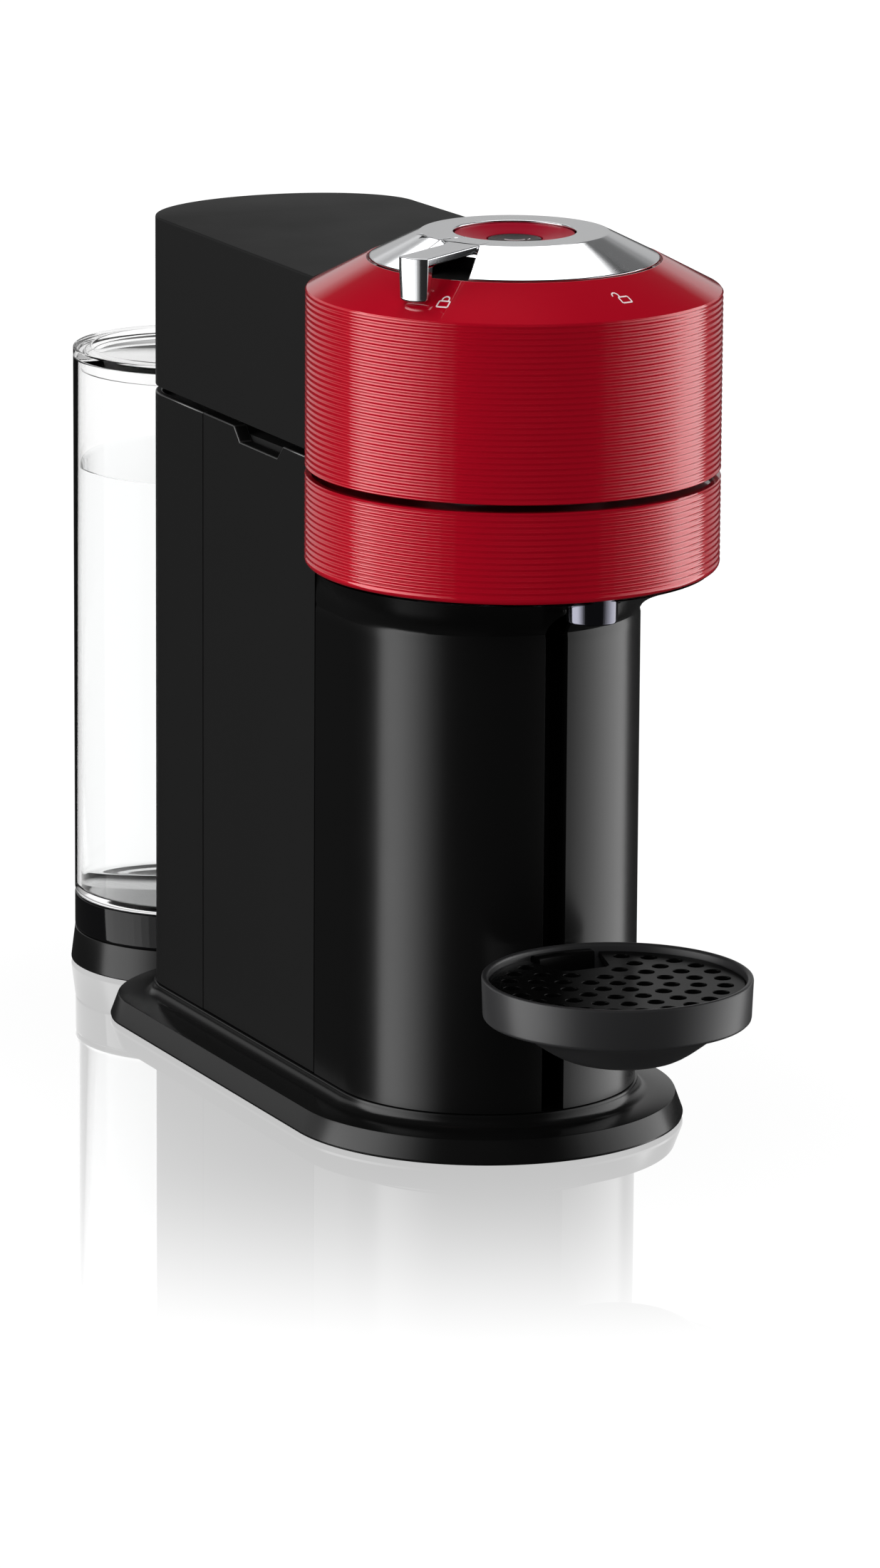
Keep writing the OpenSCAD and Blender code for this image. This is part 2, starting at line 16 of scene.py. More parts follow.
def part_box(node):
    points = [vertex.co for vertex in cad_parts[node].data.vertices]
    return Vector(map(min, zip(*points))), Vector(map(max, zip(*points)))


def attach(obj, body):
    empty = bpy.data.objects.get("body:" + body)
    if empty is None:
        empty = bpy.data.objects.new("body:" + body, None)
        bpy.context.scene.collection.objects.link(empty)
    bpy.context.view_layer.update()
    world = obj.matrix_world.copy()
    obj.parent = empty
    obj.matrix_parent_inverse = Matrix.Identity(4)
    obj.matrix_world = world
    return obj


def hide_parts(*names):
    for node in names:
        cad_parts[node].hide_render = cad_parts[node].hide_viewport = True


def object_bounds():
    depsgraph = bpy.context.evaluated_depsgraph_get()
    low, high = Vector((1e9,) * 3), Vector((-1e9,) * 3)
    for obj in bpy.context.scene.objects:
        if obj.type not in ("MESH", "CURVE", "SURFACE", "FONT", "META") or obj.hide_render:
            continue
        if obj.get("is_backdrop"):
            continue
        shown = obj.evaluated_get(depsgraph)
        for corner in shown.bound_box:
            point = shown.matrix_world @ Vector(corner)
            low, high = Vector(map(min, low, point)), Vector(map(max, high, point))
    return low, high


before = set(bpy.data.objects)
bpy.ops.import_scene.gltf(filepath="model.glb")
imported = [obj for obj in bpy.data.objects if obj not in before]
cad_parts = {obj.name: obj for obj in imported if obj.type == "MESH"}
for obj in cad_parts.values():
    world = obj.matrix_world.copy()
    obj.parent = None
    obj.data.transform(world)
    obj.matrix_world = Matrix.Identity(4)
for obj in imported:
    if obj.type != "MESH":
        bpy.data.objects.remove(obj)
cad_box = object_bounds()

# %% [markdown]
# ## Sizes
# A product designer thinks in millimetres and measures from one datum. Here that is the vertical axis of
# the head, so all shapes below are drawn in millimetres with x and y from that axis, and one helper puts
# them in the frame. The main sizes are read from the frame's own parts, so nothing has to be fitted.

# %% Main sizes, in millimetres
MM = 0.001


def span(node):
    """The lowest and the highest corner of a part of the frame, in millimetres."""
    low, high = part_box(node)
    return low / MM, high / MM


head_low, head_high = span("upper_shell")
ring_low, ring_high = span("lower_ring")
column_low, column_high = span("column_shell")
rear_low, rear_high = span("rear_shell")
cover_low, cover_high = span("rear_cover")
AXIS_Y = (head_low.y + head_high.y) / 2
HEAD_R = head_high.x
BODY_R = column_high.x
COLUMN_Y = column_low.y + BODY_R - AXIS_Y      # centre of the column's round front
REAR_Y = 176.5                                 # where the rounded rear end starts
REAR_HALF = 50.0                               # half the width of the body there
REAR_DEPTH = rear_high.y - AXIS_Y - REAR_Y     # depth of the rounded rear end
SEAMS = (span("right_panel")[0].y - AXIS_Y, span("right_panel")[1].y - AXIS_Y)
SEAM_GAP = 0.7
WALL = 2.5
BODY_LOW = column_low.z
BODY_HIGH = rear_high.z
print(f"head {2 * HEAD_R:.1f} mm wide, column {2 * BODY_R:.1f} mm wide, body {BODY_HIGH:.1f} mm high")

# %% [markdown]
# ## Helpers for shapes
# Moulded parts are nearly all one of two things: a profile turned round an axis, or a section carried
# round an outline. Both come down to joining rings of points. Real edges are never sharp, and the small
# radius on them is what draws the thin line of light, so a profile has its corners eased before it is
# turned, and other pieces get a Bevel modifier.

# %% Shape helpers
TURN = 2 * math.pi


def piece(name, verts, faces, material, sharp=32):
    """Makes a mesh object from points in millimetres about the head's axis, with its faces outwards."""
    shape = bmesh.new()
    points = [shape.verts.new((x * MM, (y + AXIS_Y) * MM, z * MM)) for x, y, z in verts]
    for face in faces:
        shape.faces.new([points[i] for i in face])
    bmesh.ops.remove_doubles(shape, verts=shape.verts, dist=1e-7)
    bmesh.ops.recalc_face_normals(shape, faces=shape.faces)
    mesh = bpy.data.meshes.new(name)
    shape.to_mesh(mesh)
    shape.free()
    mesh.shade_smooth()
    mesh.set_sharp_from_angle(angle=math.radians(sharp))
    mesh.materials.append(material)
    made = bpy.data.objects.new(name, mesh)
    bpy.context.scene.collection.objects.link(made)
    return made


def skin(rings, around=True, through=True):
    """Points and faces that join rings of equal length; through also joins the last ring to the first."""
    count = len(rings[0])
    faces = []
    for i in range(len(rings) if through else len(rings) - 1):
        a, b = i * count, (i + 1) % len(rings) * count
        for k in range(count if around else count - 1):
            j = (k + 1) % count
            faces.append((a + k, a + j, b + j, b + k))
    return [p for ring in rings for p in ring], faces


def eased(profile, ease=0.4, steps=3):
    """A closed profile with every corner rounded. A corner may carry its own radius as a third number."""
    soft = []
    for i, corner in enumerate(profile):
        here = Vector(corner[:2])
        before = Vector(profile[i - 1][:2]) - here
        after = Vector(profile[(i + 1) % len(profile)][:2]) - here
        reach = corner[2] if len(corner) > 2 else ease
        reach = min(reach, 0.45 * before.length, 0.45 * after.length)
        if reach < 0.01 or here.x < 0.01 or before.angle(after) > math.radians(172):
            soft.append(tuple(here))
            continue
        start = here + before.normalized() * reach
        end = here + after.normalized() * reach
        for k in range(steps + 1):
            t = k / steps
            soft.append(tuple((1 - t) ** 2 * start + 2 * t * (1 - t) * here + t * t * end))
    return soft


def turned(name, profile, material, centre=(0, 0), steps=160, sharp=32):
    """A closed profile of (radius, height) turned round an upright axis."""
    rings = [[(centre[0] + r * math.cos(TURN * k / steps), centre[1] + r * math.sin(TURN * k / steps), z)
              for k in range(steps)] for r, z in profile]
    return piece(name, *skin(rings), material, sharp)


def outline(grow=0.0, front=96, rear=64):
    """The body's outline from above: a round front, nearly straight sides and a shallow round rear."""
    points = []
    for k in range(front + 1):
        a = math.pi + math.pi * k / front
        points.append(((BODY_R + grow) * math.cos(a), COLUMN_Y + (BODY_R + grow) * math.sin(a)))
    for k in range(rear + 1):
        a = math.pi * k / rear
        points.append(((REAR_HALF + grow) * math.cos(a), REAR_Y + (REAR_DEPTH + grow) * math.sin(a)))
    return points


def carried(name, section, material, sharp=32):
    """A closed section of (growth, height) carried round the body's outline."""
    rings = [[(x, y, z) for x, y in outline(grow)] for grow, z in section]
    return piece(name, *skin(rings), material, sharp)


def block(x, y, z):
    """Points and faces of a box, for cutting."""
    verts = [(a, b, c) for a in x for b in y for c in z]
    return verts, [(0, 1, 3, 2), (4, 6, 7, 5), (0, 4, 5, 1), (2, 3, 7, 6), (0, 2, 6, 4), (1, 5, 7, 3)]


def prism(polygon, z0, z1):
    """Points and faces of an upright prism over a polygon."""
    n = len(polygon)
    verts = [(x, y, z) for z in (z0, z1) for x, y in polygon]
    sides = [(k, (k + 1) % n, n + (k + 1) % n, n + k) for k in range(n)]
    return verts, sides + [tuple(range(n)), tuple(range(n, 2 * n))]


def plain(made):
    """Turns an object with modifiers into a plain mesh."""
    bpy.context.view_layer.update()
    graph = bpy.context.evaluated_depsgraph_get()
    mesh = bpy.data.meshes.new_from_object(made.evaluated_get(graph))
    made.modifiers.clear()
    made.data = mesh
    return made


def carve(made, verts, faces, operation="DIFFERENCE"):
    """Cuts a solid away from a piece, and leaves a plain mesh."""
    tool = piece("cutter", verts, faces, made.data.materials[0], sharp=32)
    cut = made.modifiers.new("cut", "BOOLEAN")
    cut.operation = operation
    cut.solver = "EXACT"
    cut.object = tool
    plain(made)
    bpy.data.objects.remove(tool)
    made.data.shade_smooth()
    made.data.set_sharp_from_angle(angle=math.radians(32))
    return made


def rounded_edges(made, width, angle=40, segments=3):
    """Rounds the sharp edges of a piece with a live Bevel modifier."""
    bevel = made.modifiers.new("edges", "BEVEL")
    bevel.width = width * MM
    bevel.segments = segments
    bevel.limit_method = "ANGLE"
    bevel.angle_limit = math.radians(angle)
    bevel.harden_normals = True
    bevel.use_clamp_overlap = True
    made.data.shade_smooth()
    return made


def rim_with_painted_highlight(made, width, above, painted_rim_finish):
    """Rounds only the sharp edges above a height with a Bevel modifier, and gives them their own glossier, lighter
    grey: a painted highlight.
    """
    shape = bmesh.new()
    shape.from_mesh(made.data)
    weights = shape.edges.layers.float.new("bevel_weight_edge")
    for edge in shape.edges:
        if len(edge.link_faces) == 2 and edge.calc_face_angle() > math.radians(30):
            edge[weights] = float(min(v.co.z for v in edge.verts) > above * MM)
    shape.to_mesh(made.data)
    shape.free()
    rounded_edges(made, width)
    # the rounds take the second material, a lighter grey that paints a highlight on them
    made.data.materials.append(painted_rim_finish)
    made.modifiers["edges"].limit_method = "WEIGHT"
    made.modifiers["edges"].material = 1
    return made


def fit(made, body, slot, *nodes):
    """Lets a piece ride on a body and stand for parts of the frame; the slot is not used."""
    if nodes:
        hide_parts(*nodes)
    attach(made, body)
    print(f"{made.name}: {len(made.data.polygons)} faces, rides on {body}")
    return made


# %% [markdown]
# ## Helpers for nodes
# Materials and Geometry Nodes are both trees of nodes, so one small function adds a node to either kind
# of tree, sets its options and fills or links its inputs. Colours are written as the sRGB hex values a
# designer would read from a swatch, and one function turns them into the linear numbers a shader needs.

# %% Node helpers
WEAR_SCALE = 40.0       # patches of wear in a finish, per metre


def linear(swatch):
    """A colour from an sRGB hex swatch, in the linear values that shaders use."""
    values = [int(swatch[i:i + 2], 16) / 255 for i in (0, 2, 4)]
    return [v / 12.92 if v <= 0.04045 else ((v + 0.055) / 1.055) ** 2.4 for v in values] + [1.0]


def add(tree, kind, inputs=None, **settings):
    """Adds a node, sets its options, and fills each named or numbered input with a value or a link."""
    made = tree.nodes.new(kind)
    for option, value in settings.items():
        setattr(made, option, value)
    for socket, value in (inputs or {}).items():
        if isinstance(value, bpy.types.NodeSocket):
            tree.links.new(value, made.inputs[socket])
        else:
            made.inputs[socket].default_value = value
    return made


def finish(name, swatch, roughness, **sockets):
    """A material with its main values set on the shader's own sockets."""
    material = bpy.data.materials.new(name)
    material.use_nodes = True
    tree = material.node_tree
    tree.nodes.clear()
    shader = add(tree, "ShaderNodeBsdfPrincipled", {"Base Color": linear(swatch), "Roughness": roughness})
    for socket, value in sockets.items():
        shader.inputs[socket.replace("_", " ").title().replace("Ior", "IOR")].default_value = value
    add(tree, "ShaderNodeOutputMaterial", {"Surface": shader.outputs["BSDF"]})
    return material


def grain(material, size, relief, spread=0.0, stretch=(1, 1, 1)):
    """Adds a fine moulded or brushed grain: size in mm across, relief in mm high, spread in roughness."""
    tree = material.node_tree
    shader = next(n for n in tree.nodes if n.type == "BSDF_PRINCIPLED")
    place = add(tree, "ShaderNodeTexCoord")
    scaled = add(tree, "ShaderNodeMapping", {"Vector": place.outputs["Object"], "Scale": stretch})
    noise = add(tree, "ShaderNodeTexNoise",
                {"Vector": scaled.outputs["Vector"], "Scale": 1 / (size * MM), "Detail": 2.0})
    bump = add(tree, "ShaderNodeBump",
               {"Height": noise.outputs["Fac"], "Distance": relief * MM, "Strength": 1.0})
    tree.links.new(bump.outputs["Normal"], shader.inputs["Normal"])
    if spread:
        rough = shader.inputs["Roughness"].default_value
        cloud = add(tree, "ShaderNodeTexNoise",
                    {"Vector": scaled.outputs["Vector"], "Scale": WEAR_SCALE, "Detail": 3.0})
        worn = add(tree, "ShaderNodeMapRange",
                   {"Value": cloud.outputs["Fac"], 3: rough - spread, 4: rough + spread})
        tree.links.new(worn.outputs["Result"], shader.inputs["Roughness"])
    return material


# %% [markdown]
# ## Finishes of the housing
# The red bands are ABS with a glossy lacquer: a slightly metallic crimson under a hard clear coat, whose
# high index mirrors the softboxes as pink bands. The black mouldings are ABS too, but spark-eroded tools
# give them a fine grain. On the sides and the cover it is a third of a millimetre and the specular level
# is very low, so they stay flat and dark. The column is smoother and shows a broad soft band of light.
# The rims of the body get a glossier copy of the black in a lighter grey, and that lighter grey is a painted
# highlight. The lever is ABS plated with bright chrome.

# %% Housing materials
red_lacquer = grain(finish("red_lacquered_abs", "BE0622", 0.3, metallic=0.2, specular_ior_level=0.05,
                           coat_weight=1.0, coat_roughness=0.06, coat_ior=1.62), 0.4, 0.002, 0.02)
red_satin = grain(finish("red_satin_abs", "A00826", 0.4, metallic=0.1, specular_ior_level=0.08),
                  0.4, 0.002, 0.02)
side_abs = grain(finish("black_grained_abs", "161616", 0.5, specular_ior_level=0.08), 0.34, 0.01, 0.03)
cover_abs = grain(finish("black_fine_grained_abs", "1C1C1C", 0.45, specular_ior_level=0.05), 0.3, 0.008, 0.03)
column_abs = grain(finish("black_satin_abs", "0E0E0E", 0.25, specular_ior_level=0.42), 0.3, 0.003, 0.02)
# a lighter, glossier copy of the black for the rounded rims: its lighter grey is a painted highlight
rim_highlight_abs = finish("black_edge_painted_lighter", "303030", 0.3, specular_ior_level=1.0)
base_abs = grain(finish("black_moulded_abs", "101010", 0.22, specular_ior_level=0.35), 0.3, 0.004, 0.02)
inner_abs = grain(finish("black_inner_abs", "1A1A1A", 0.6, specular_ior_level=0.25), 0.5, 0.012, 0.04)
gloss_abs = grain(finish("black_glossy_abs", "080808", 0.26, specular_ior_level=0.07), 0.5, 0.002, 0.02)
tray_abs = grain(finish("dark_grey_satin_abs", "2E2E2F", 0.34, specular_ior_level=0.4), 0.3, 0.004, 0.03)
chrome = grain(finish("bright_chrome_plating", "DCDDDF", 0.13, metallic=1.0), 0.8, 0.0006, 0.015)
dark_chrome = grain(finish("dark_chrome_plating", "6C6C76", 0.12, metallic=1.0), 0.8, 0.001, 0.02)
pad_print = grain(finish("white_pad_printing_ink", "F6E6E8", 0.5), 0.3, 0.002)
print("housing materials ready")

# %% [markdown]
# ## Clear plastics
# The tank is injected copolyester, with a smoked collar moulded from the same resin with a dye in it. All
# three shaders let the light through, but with an index of refraction well below the real 1.57 of the
# resin and 1.33 of the water. True values bend the dark studio into the clear wall as wide black bands,
# and the lower ones keep the tank pale with thin lines at its edges.

# %% Clear materials
tank_resin = finish("clear_copolyester", "FBFBFB", 0.02, transmission_weight=1.0, ior=1.17)
smoked_resin = finish("smoked_copolyester", "121213", 0.06, transmission_weight=0.3, ior=1.3)
water = finish("drinking_water", "FBFCFC", 0.01, transmission_weight=1.0, ior=1.06)

# %% [markdown]
# ## Finishes of the mechanism
# What the opened head shows is die-cast aluminium, turned stainless steel, springs, silicone seals and a
# circuit board. Metals keep the default index and get a grain that follows how they were made: cast skin
# is cloudy and rough, and brushed steel has fine lines one way.

# %% Mechanism materials
steel = grain(finish("turned_stainless_steel", "B9BBBE", 0.24, metallic=1.0), 0.5, 0.003, 0.04, (1, 1, 6))
hinge_steel = grain(finish("zinc_plated_steel", "A3A6AA", 0.38, metallic=1.0), 1.2, 0.006, 0.06)
cast_alloy = grain(finish("die_cast_aluminium", "9A9DA1", 0.48, metallic=1.0), 0.9, 0.02, 0.06)
brew_alloy = grain(finish("anodised_aluminium", "76787D", 0.34, metallic=1.0), 0.4, 0.004, 0.05)
pump_resin = grain(finish("glass_filled_polyamide", "B9B4A2", 0.5), 0.6, 0.01, 0.05)
board_green = grain(finish("solder_mask_on_fibreglass", "1C5E35", 0.35), 0.7, 0.006, 0.04)
hose_rubber = grain(finish("translucent_silicone_hose", "D4D2CB", 0.4, subsurface_weight=0.2),
                    0.8, 0.004, 0.03)
foot_rubber = grain(finish("moulded_rubber", "1B1B1C", 0.75), 0.5, 0.02, 0.04)
seal_rubber = grain(finish("red_silicone_seal", "8C2B22", 0.5), 0.5, 0.006, 0.04)
print("materials:", len(bpy.data.materials))

# %% [markdown]
# ## Ribs as a rule
# The head's bands carry fine ribs like those of a knurled jar lid: one smooth wave about two millimetres
# high, repeated all the way up. Drawing each rib would be slow and hard to change, so the band is turned
# as a plain wall with enough rows, and a small Geometry Nodes tree presses a wave into every point that
# lies on the wall. Its inputs are the pitch and the depth, so the ribs can be made finer in one place.

# %% A tree that presses ribs into a round wall


def start_tree(name, **inputs):
    """A Geometry Nodes tree with a geometry input and output, and named number inputs."""
    tree = bpy.data.node_groups.new(name, "GeometryNodeTree")
    tree.interface.new_socket("Geometry", in_out="INPUT", socket_type="NodeSocketGeometry")
    for label, value in inputs.items():
        kind = {float: "NodeSocketFloat", int: "NodeSocketInt"}.get(type(value), "NodeSocketMaterial")
        socket = tree.interface.new_socket(label.replace("_", " "), in_out="INPUT", socket_type=kind)
        if value is not None:
            socket.default_value = value
    tree.interface.new_socket("Geometry", in_out="OUTPUT", socket_type="NodeSocketGeometry")
    return tree


def run_tree(made, tree, **values):
    """Runs a tree on an object with these inputs, and leaves a plain mesh."""
    modifier = made.modifiers.new(tree.name, "NODES")
    modifier.node_group = tree
    sockets = {s.name: s.identifier for s in tree.interface.items_tree if s.in_out == "INPUT"}
    for label, value in values.items():
        modifier[sockets[label.replace("_", " ")]] = value
    return plain(made)


def end_tree(tree, geometry, material):
    """Realizes what the tree made, sets its material and sends it out."""
    solid = add(tree, "GeometryNodeRealizeInstances", {0: geometry})
    dressed = add(tree, "GeometryNodeSetMaterial", {"Geometry": solid.outputs[0], "Material": material})
    add(tree, "NodeGroupOutput", {0: dressed.outputs[0]})
    return tree


def ribs_tree():
    """Presses a wave of the given pitch and depth into a wall of the given radius."""
    tree = start_tree("ribs", Radius=HEAD_R * MM, Low=0.2, High=0.3, Pitch=0.002, Depth=0.0004, Material=None)
    given = add(tree, "NodeGroupInput")
    axis = add(tree, "ShaderNodeCombineXYZ", {"Y": AXIS_Y * MM})
    place = add(tree, "GeometryNodeInputPosition")
    height = add(tree, "ShaderNodeSeparateXYZ", {0: place.outputs[0]})
    arm = add(tree, "ShaderNodeVectorMath", {0: place.outputs[0], 1: axis.outputs[0]}, operation="SUBTRACT")
    flat = add(tree, "ShaderNodeVectorMath", {0: arm.outputs[0], 1: (1, 1, 0)}, operation="MULTIPLY")
    reach = add(tree, "ShaderNodeVectorMath", {0: flat.outputs[0]}, operation="LENGTH")
    outward = add(tree, "ShaderNodeVectorMath", {0: flat.outputs[0]}, operation="NORMALIZE")
    above = add(tree, "ShaderNodeMath", {0: height.outputs["Z"], 1: given.outputs["Low"]},
                operation="SUBTRACT")
    count = add(tree, "ShaderNodeMath", {0: above.outputs[0], 1: given.outputs["Pitch"]}, operation="DIVIDE")
    angle = add(tree, "ShaderNodeMath", {0: count.outputs[0], 1: TURN}, operation="MULTIPLY")
    wave = add(tree, "ShaderNodeMath", {0: angle.outputs[0]}, operation="COSINE")
    half = add(tree, "ShaderNodeMath", {0: wave.outputs[0], 1: 0.5, 2: -0.5}, operation="MULTIPLY_ADD")
    depth = add(tree, "ShaderNodeMath", {0: half.outputs[0], 1: given.outputs["Depth"]}, operation="MULTIPLY")
    push = add(tree, "ShaderNodeVectorMath", {0: outward.outputs[0], "Scale": depth.outputs[0]},
               operation="SCALE")
    edge = add(tree, "ShaderNodeMath", {0: given.outputs["Radius"], 1: 0.02 * MM}, operation="SUBTRACT")
    on_wall = add(tree, "FunctionNodeCompare", {0: reach.outputs["Value"], 1: edge.outputs[0]},
                  operation="GREATER_THAN")
    over = add(tree, "FunctionNodeCompare", {0: height.outputs["Z"], 1: given.outputs["Low"]},
               operation="GREATER_THAN")
    under = add(tree, "FunctionNodeCompare", {0: height.outputs["Z"], 1: given.outputs["High"]},
                operation="LESS_THAN")
    between = add(tree, "FunctionNodeBooleanMath", {0: over.outputs[0], 1: under.outputs[0]}, operation="AND")
    chosen = add(tree, "FunctionNodeBooleanMath", {0: between.outputs[0], 1: on_wall.outputs[0]},
                 operation="AND")
    pressed = add(tree, "GeometryNodeSetPosition",
                  {"Geometry": given.outputs["Geometry"], "Selection": chosen.outputs[0],
                   "Offset": push.outputs[0]})
    return end_tree(tree, pressed.outputs[0], given.outputs["Material"])


RIBS = ribs_tree()
RIB_PITCH = 2.03        # height of one rib
RIB_DEPTH = 0.55        # how deep the valleys are
RIB_ROWS = 8            # rows of faces in one rib
print("ribs tree:", len(RIBS.nodes), "nodes")

# %% [markdown]
# ## The head's two bands
# The upper band is one moulding with the cone above it, which leads up to the lever ring. The lower band
# is fixed to the body, ends in a rounded lip at the bottom and carries the deck that the capsule cup
# turns in. Both walls are 2.5 mm thick, so that the opened head shows a real rim.

# %% Upper band with its cone


def ribbed_wall(low, high, count):
    """The straight outer wall of a band, as points from low to high with rows for the ribs."""
    rows = count * RIB_ROWS
    return [(HEAD_R, low + (high - low) * k / rows) for k in range(rows + 1)]


def ribbed(name, profile, wall, count, material):
    """Turns a band's profile with its wall in place, and presses the ribs into the wall."""
    band = turned(name, wall + profile, material, steps=232, sharp=60)
    pitch = (wall[-1][1] - wall[0][1]) / count
    return run_tree(band, RIBS, Radius=HEAD_R * MM, Low=(wall[0][1] + 0.01) * MM,
                    High=(wall[-1][1] - 0.01) * MM, Pitch=pitch * MM, Depth=RIB_DEPTH * MM, Material=material)


CONE_LOW = cover_high.z                         # the cone starts level with the rear cover's top
CONE_HIGH = head_high.z
LEVER_R = 49.3                                  # outer radius of the lever ring
CONE_IN = LEVER_R + 0.9
upper_count = round((CONE_LOW - 0.8 - head_low.z) / RIB_PITCH)
upper_wall = ribbed_wall(head_low.z + 0.4, CONE_LOW - 0.5, upper_count)
upper_rest = eased([(HEAD_R - 0.35, CONE_LOW + 0.1, 0.3), (CONE_IN, CONE_HIGH, 0.5), (CONE_IN, 303),
                    (24, 303), (24, 300.6), (LEVER_R - 1, 300.6), (HEAD_R - WALL, CONE_LOW - 1.8),
                    (HEAD_R - WALL, head_low.z), (HEAD_R - 0.3, head_low.z, 0.25)])
upper_band = ribbed("upper_band", upper_rest, upper_wall, upper_count, red_lacquer)
fit(upper_band, "head", "red_ribbed", "upper_shell")

# %% Lower band with its deck
DECK = 229.0
LIP = 2.2               # radius of the rounded bottom lip
lower_count = round((ring_high.z - ring_low.z - LIP) / RIB_PITCH)
lower_wall = ribbed_wall(ring_low.z + LIP, ring_high.z - 0.4, lower_count)
lower_rest = [(HEAD_R - 0.3, ring_high.z), (HEAD_R - WALL + 0.3, ring_high.z),
              (HEAD_R - WALL, ring_high.z - 0.3), (HEAD_R - WALL, DECK), (37.4, DECK), (37, DECK - 0.4),
              (37, DECK - 3),
              (HEAD_R - WALL, DECK - 3), (HEAD_R - WALL, ring_low.z + 0.3), (HEAD_R - WALL + 0.3, ring_low.z)]
lower_rest += [(HEAD_R - LIP + LIP * math.sin(a), ring_low.z + LIP - LIP * math.cos(a))
               for a in (k * TURN / 32 for k in range(8))]
lower_band = ribbed("lower_band", lower_rest, lower_wall, lower_count, red_lacquer)
carve(lower_band, *block((-90, 90), (SEAMS[0] - SEAM_GAP, 90), (150, 260)))
fit(lower_band, "machine", "red_ribbed", "lower_ring")

# %% [markdown]
# ## The lever
# The lever is one chrome-plated moulding: a flat ring with a conical skirt, an arm that grows out of the
# flat ring with a soft fillet on one side, and a finger that hangs from the arm's end down the red cone.
# Beside the arm the skirt is cut away, so that a finger can get hold of it, and the dark collar shows
# through. Three simple solids are joined with Boolean modifiers, because then one bevel rounds all the
# edges, and chrome shows every edge.

# %% Lever ring, arm and finger
LEVER_TOP = span("lever_ring")[1].z
LEVER_TURN = math.radians(-90 - 58.5)   # the arm points 58.5 degrees left of the front
RING_IN = 20.9          # inner radius of the flat ring
RING_FLAT = 32.0        # where the flat ring meets the skirt
SKIRT_LOW = 306.4
ARM_HALF = 5.7          # half the width of the arm
ARM_THICK = 2.6
TIP_R = 66.4            # how far the finger reaches from the axis
TIP_ROUND = 12.0        # radius of the finger's round front
FINGER = 4.8            # thickness of the finger
FOOT_ROUND = 2.0        # radius of the finger's foot
FOOT_GAP = 1.0          # how far the foot stays off the cone
FILLET = 9.0            # fillet between the arm and the flat ring
CONE_SLOPE = (CONE_HIGH - CONE_LOW) / (HEAD_R - CONE_IN)


def aimed(verts):
    """Points drawn with the arm along +X, turned to the arm's real direction."""
    c, s = math.cos(LEVER_TURN), math.sin(LEVER_TURN)
    return [(x * c - y * s, x * s + y * c, z) for x, y, z in verts]


def arc(cx, cy, r, start, end, steps):
    """Points along an arc, with its angles in degrees."""
    angles = [math.radians(start + (end - start) * k / steps) for k in range(steps + 1)]
    return [(cx + r * math.cos(a), cy + r * math.sin(a)) for a in angles]


def finger_outline(inset):
    """The finger from above: flat at the back, round at the front."""
    half = ARM_HALF - inset
    front = math.degrees(math.asin(half / (TIP_ROUND - inset)))
    back = TIP_R - FINGER + inset
    return [(back, half), (back, -half)] + arc(TIP_R - TIP_ROUND, 0, TIP_ROUND - inset, -front, front, 14)


def finger_rings():
    """Rings down the finger: two inside the arm, then a rounded foot that follows the cone."""
    rings = [[(x, y, LEVER_TOP - drop) for x, y in finger_outline(0.0)] for drop in (0.8, 3.4)]
    for k in range(6):
        a = math.radians(15 * k)
        lift = FOOT_GAP + FOOT_ROUND * (1 - math.sin(a))
        inset = 0.4 + FOOT_ROUND * (1 - math.cos(a))
        rings.append([(x, y, CONE_LOW + (HEAD_R - math.hypot(x, y)) * CONE_SLOPE + lift)
                      for x, y in finger_outline(inset)])
    return rings


def capped(rings):
    """A tube with both of its ends closed."""
    verts, faces = skin(rings, through=False)
    n = len(rings[0])
    return verts, faces + [tuple(range(n)), tuple(range(len(verts) - n, len(verts)))]


def arm_outline():
    """The arm from above, from inside the flat ring to its tip, with the fillet on its left side."""
    front = math.degrees(math.asin(ARM_HALF / TIP_ROUND))
    side_x = math.sqrt((RING_FLAT + FILLET) ** 2 - (ARM_HALF + FILLET) ** 2)
    touch = math.degrees(math.atan2(-ARM_HALF - FILLET, side_x))
    left = arc(side_x, -ARM_HALF - FILLET, FILLET, 180 + touch, 90, 14)
    return [(25, ARM_HALF), (25, -9)] + left + arc(TIP_R - TIP_ROUND, 0, TIP_ROUND, -front, front, 14)


ring_profile = [(RING_IN, LEVER_TOP - 3.4), (RING_IN, LEVER_TOP), (RING_FLAT, LEVER_TOP),
                (LEVER_R, SKIRT_LOW), (LEVER_R, SKIRT_LOW - 0.5), (LEVER_R - 2.2, SKIRT_LOW - 0.5),
                (RING_FLAT - 1, LEVER_TOP - 3.4)]
lever = turned("lever", ring_profile, chrome, steps=216, sharp=20)
notch = [(RING_FLAT + 1.6, -ARM_HALF - 0.6), (LEVER_R + 8, -ARM_HALF - 0.6), (LEVER_R + 8, ARM_HALF + 6.4),
         (LEVER_R - 1, ARM_HALF + 5.4), (RING_FLAT + 1.6, ARM_HALF + 0.4)]
verts, faces = prism(notch, SKIRT_LOW - 3, LEVER_TOP + 3)
carve(lever, aimed(verts), faces)
verts, faces = prism(arm_outline(), LEVER_TOP - ARM_THICK, LEVER_TOP)
carve(lever, aimed(verts), faces, "UNION")
verts, faces = capped(finger_rings())
carve(lever, aimed(verts), faces, "UNION")
clean = bmesh.new()
clean.from_mesh(lever.data)
bmesh.ops.remove_doubles(clean, verts=clean.verts, dist=0.05 * MM)
clean.to_mesh(lever.data)
clean.free()
rounded_edges(lever, 0.45, 22).modifiers["edges"].use_clamp_overlap = False
fit(lever, "lever", "chrome_lever", "lever_ring")

# %% [markdown]
# ## Dish, button and signs
# Inside the lever ring lies a shallow red dish with the start button in its middle. Two small line signs
# on the cone, a closed and an open padlock, tell where the lever locks. On the real part they are printed,
# so here they are thin ribbons that lie on the cone, a tenth of a millimetre thick.

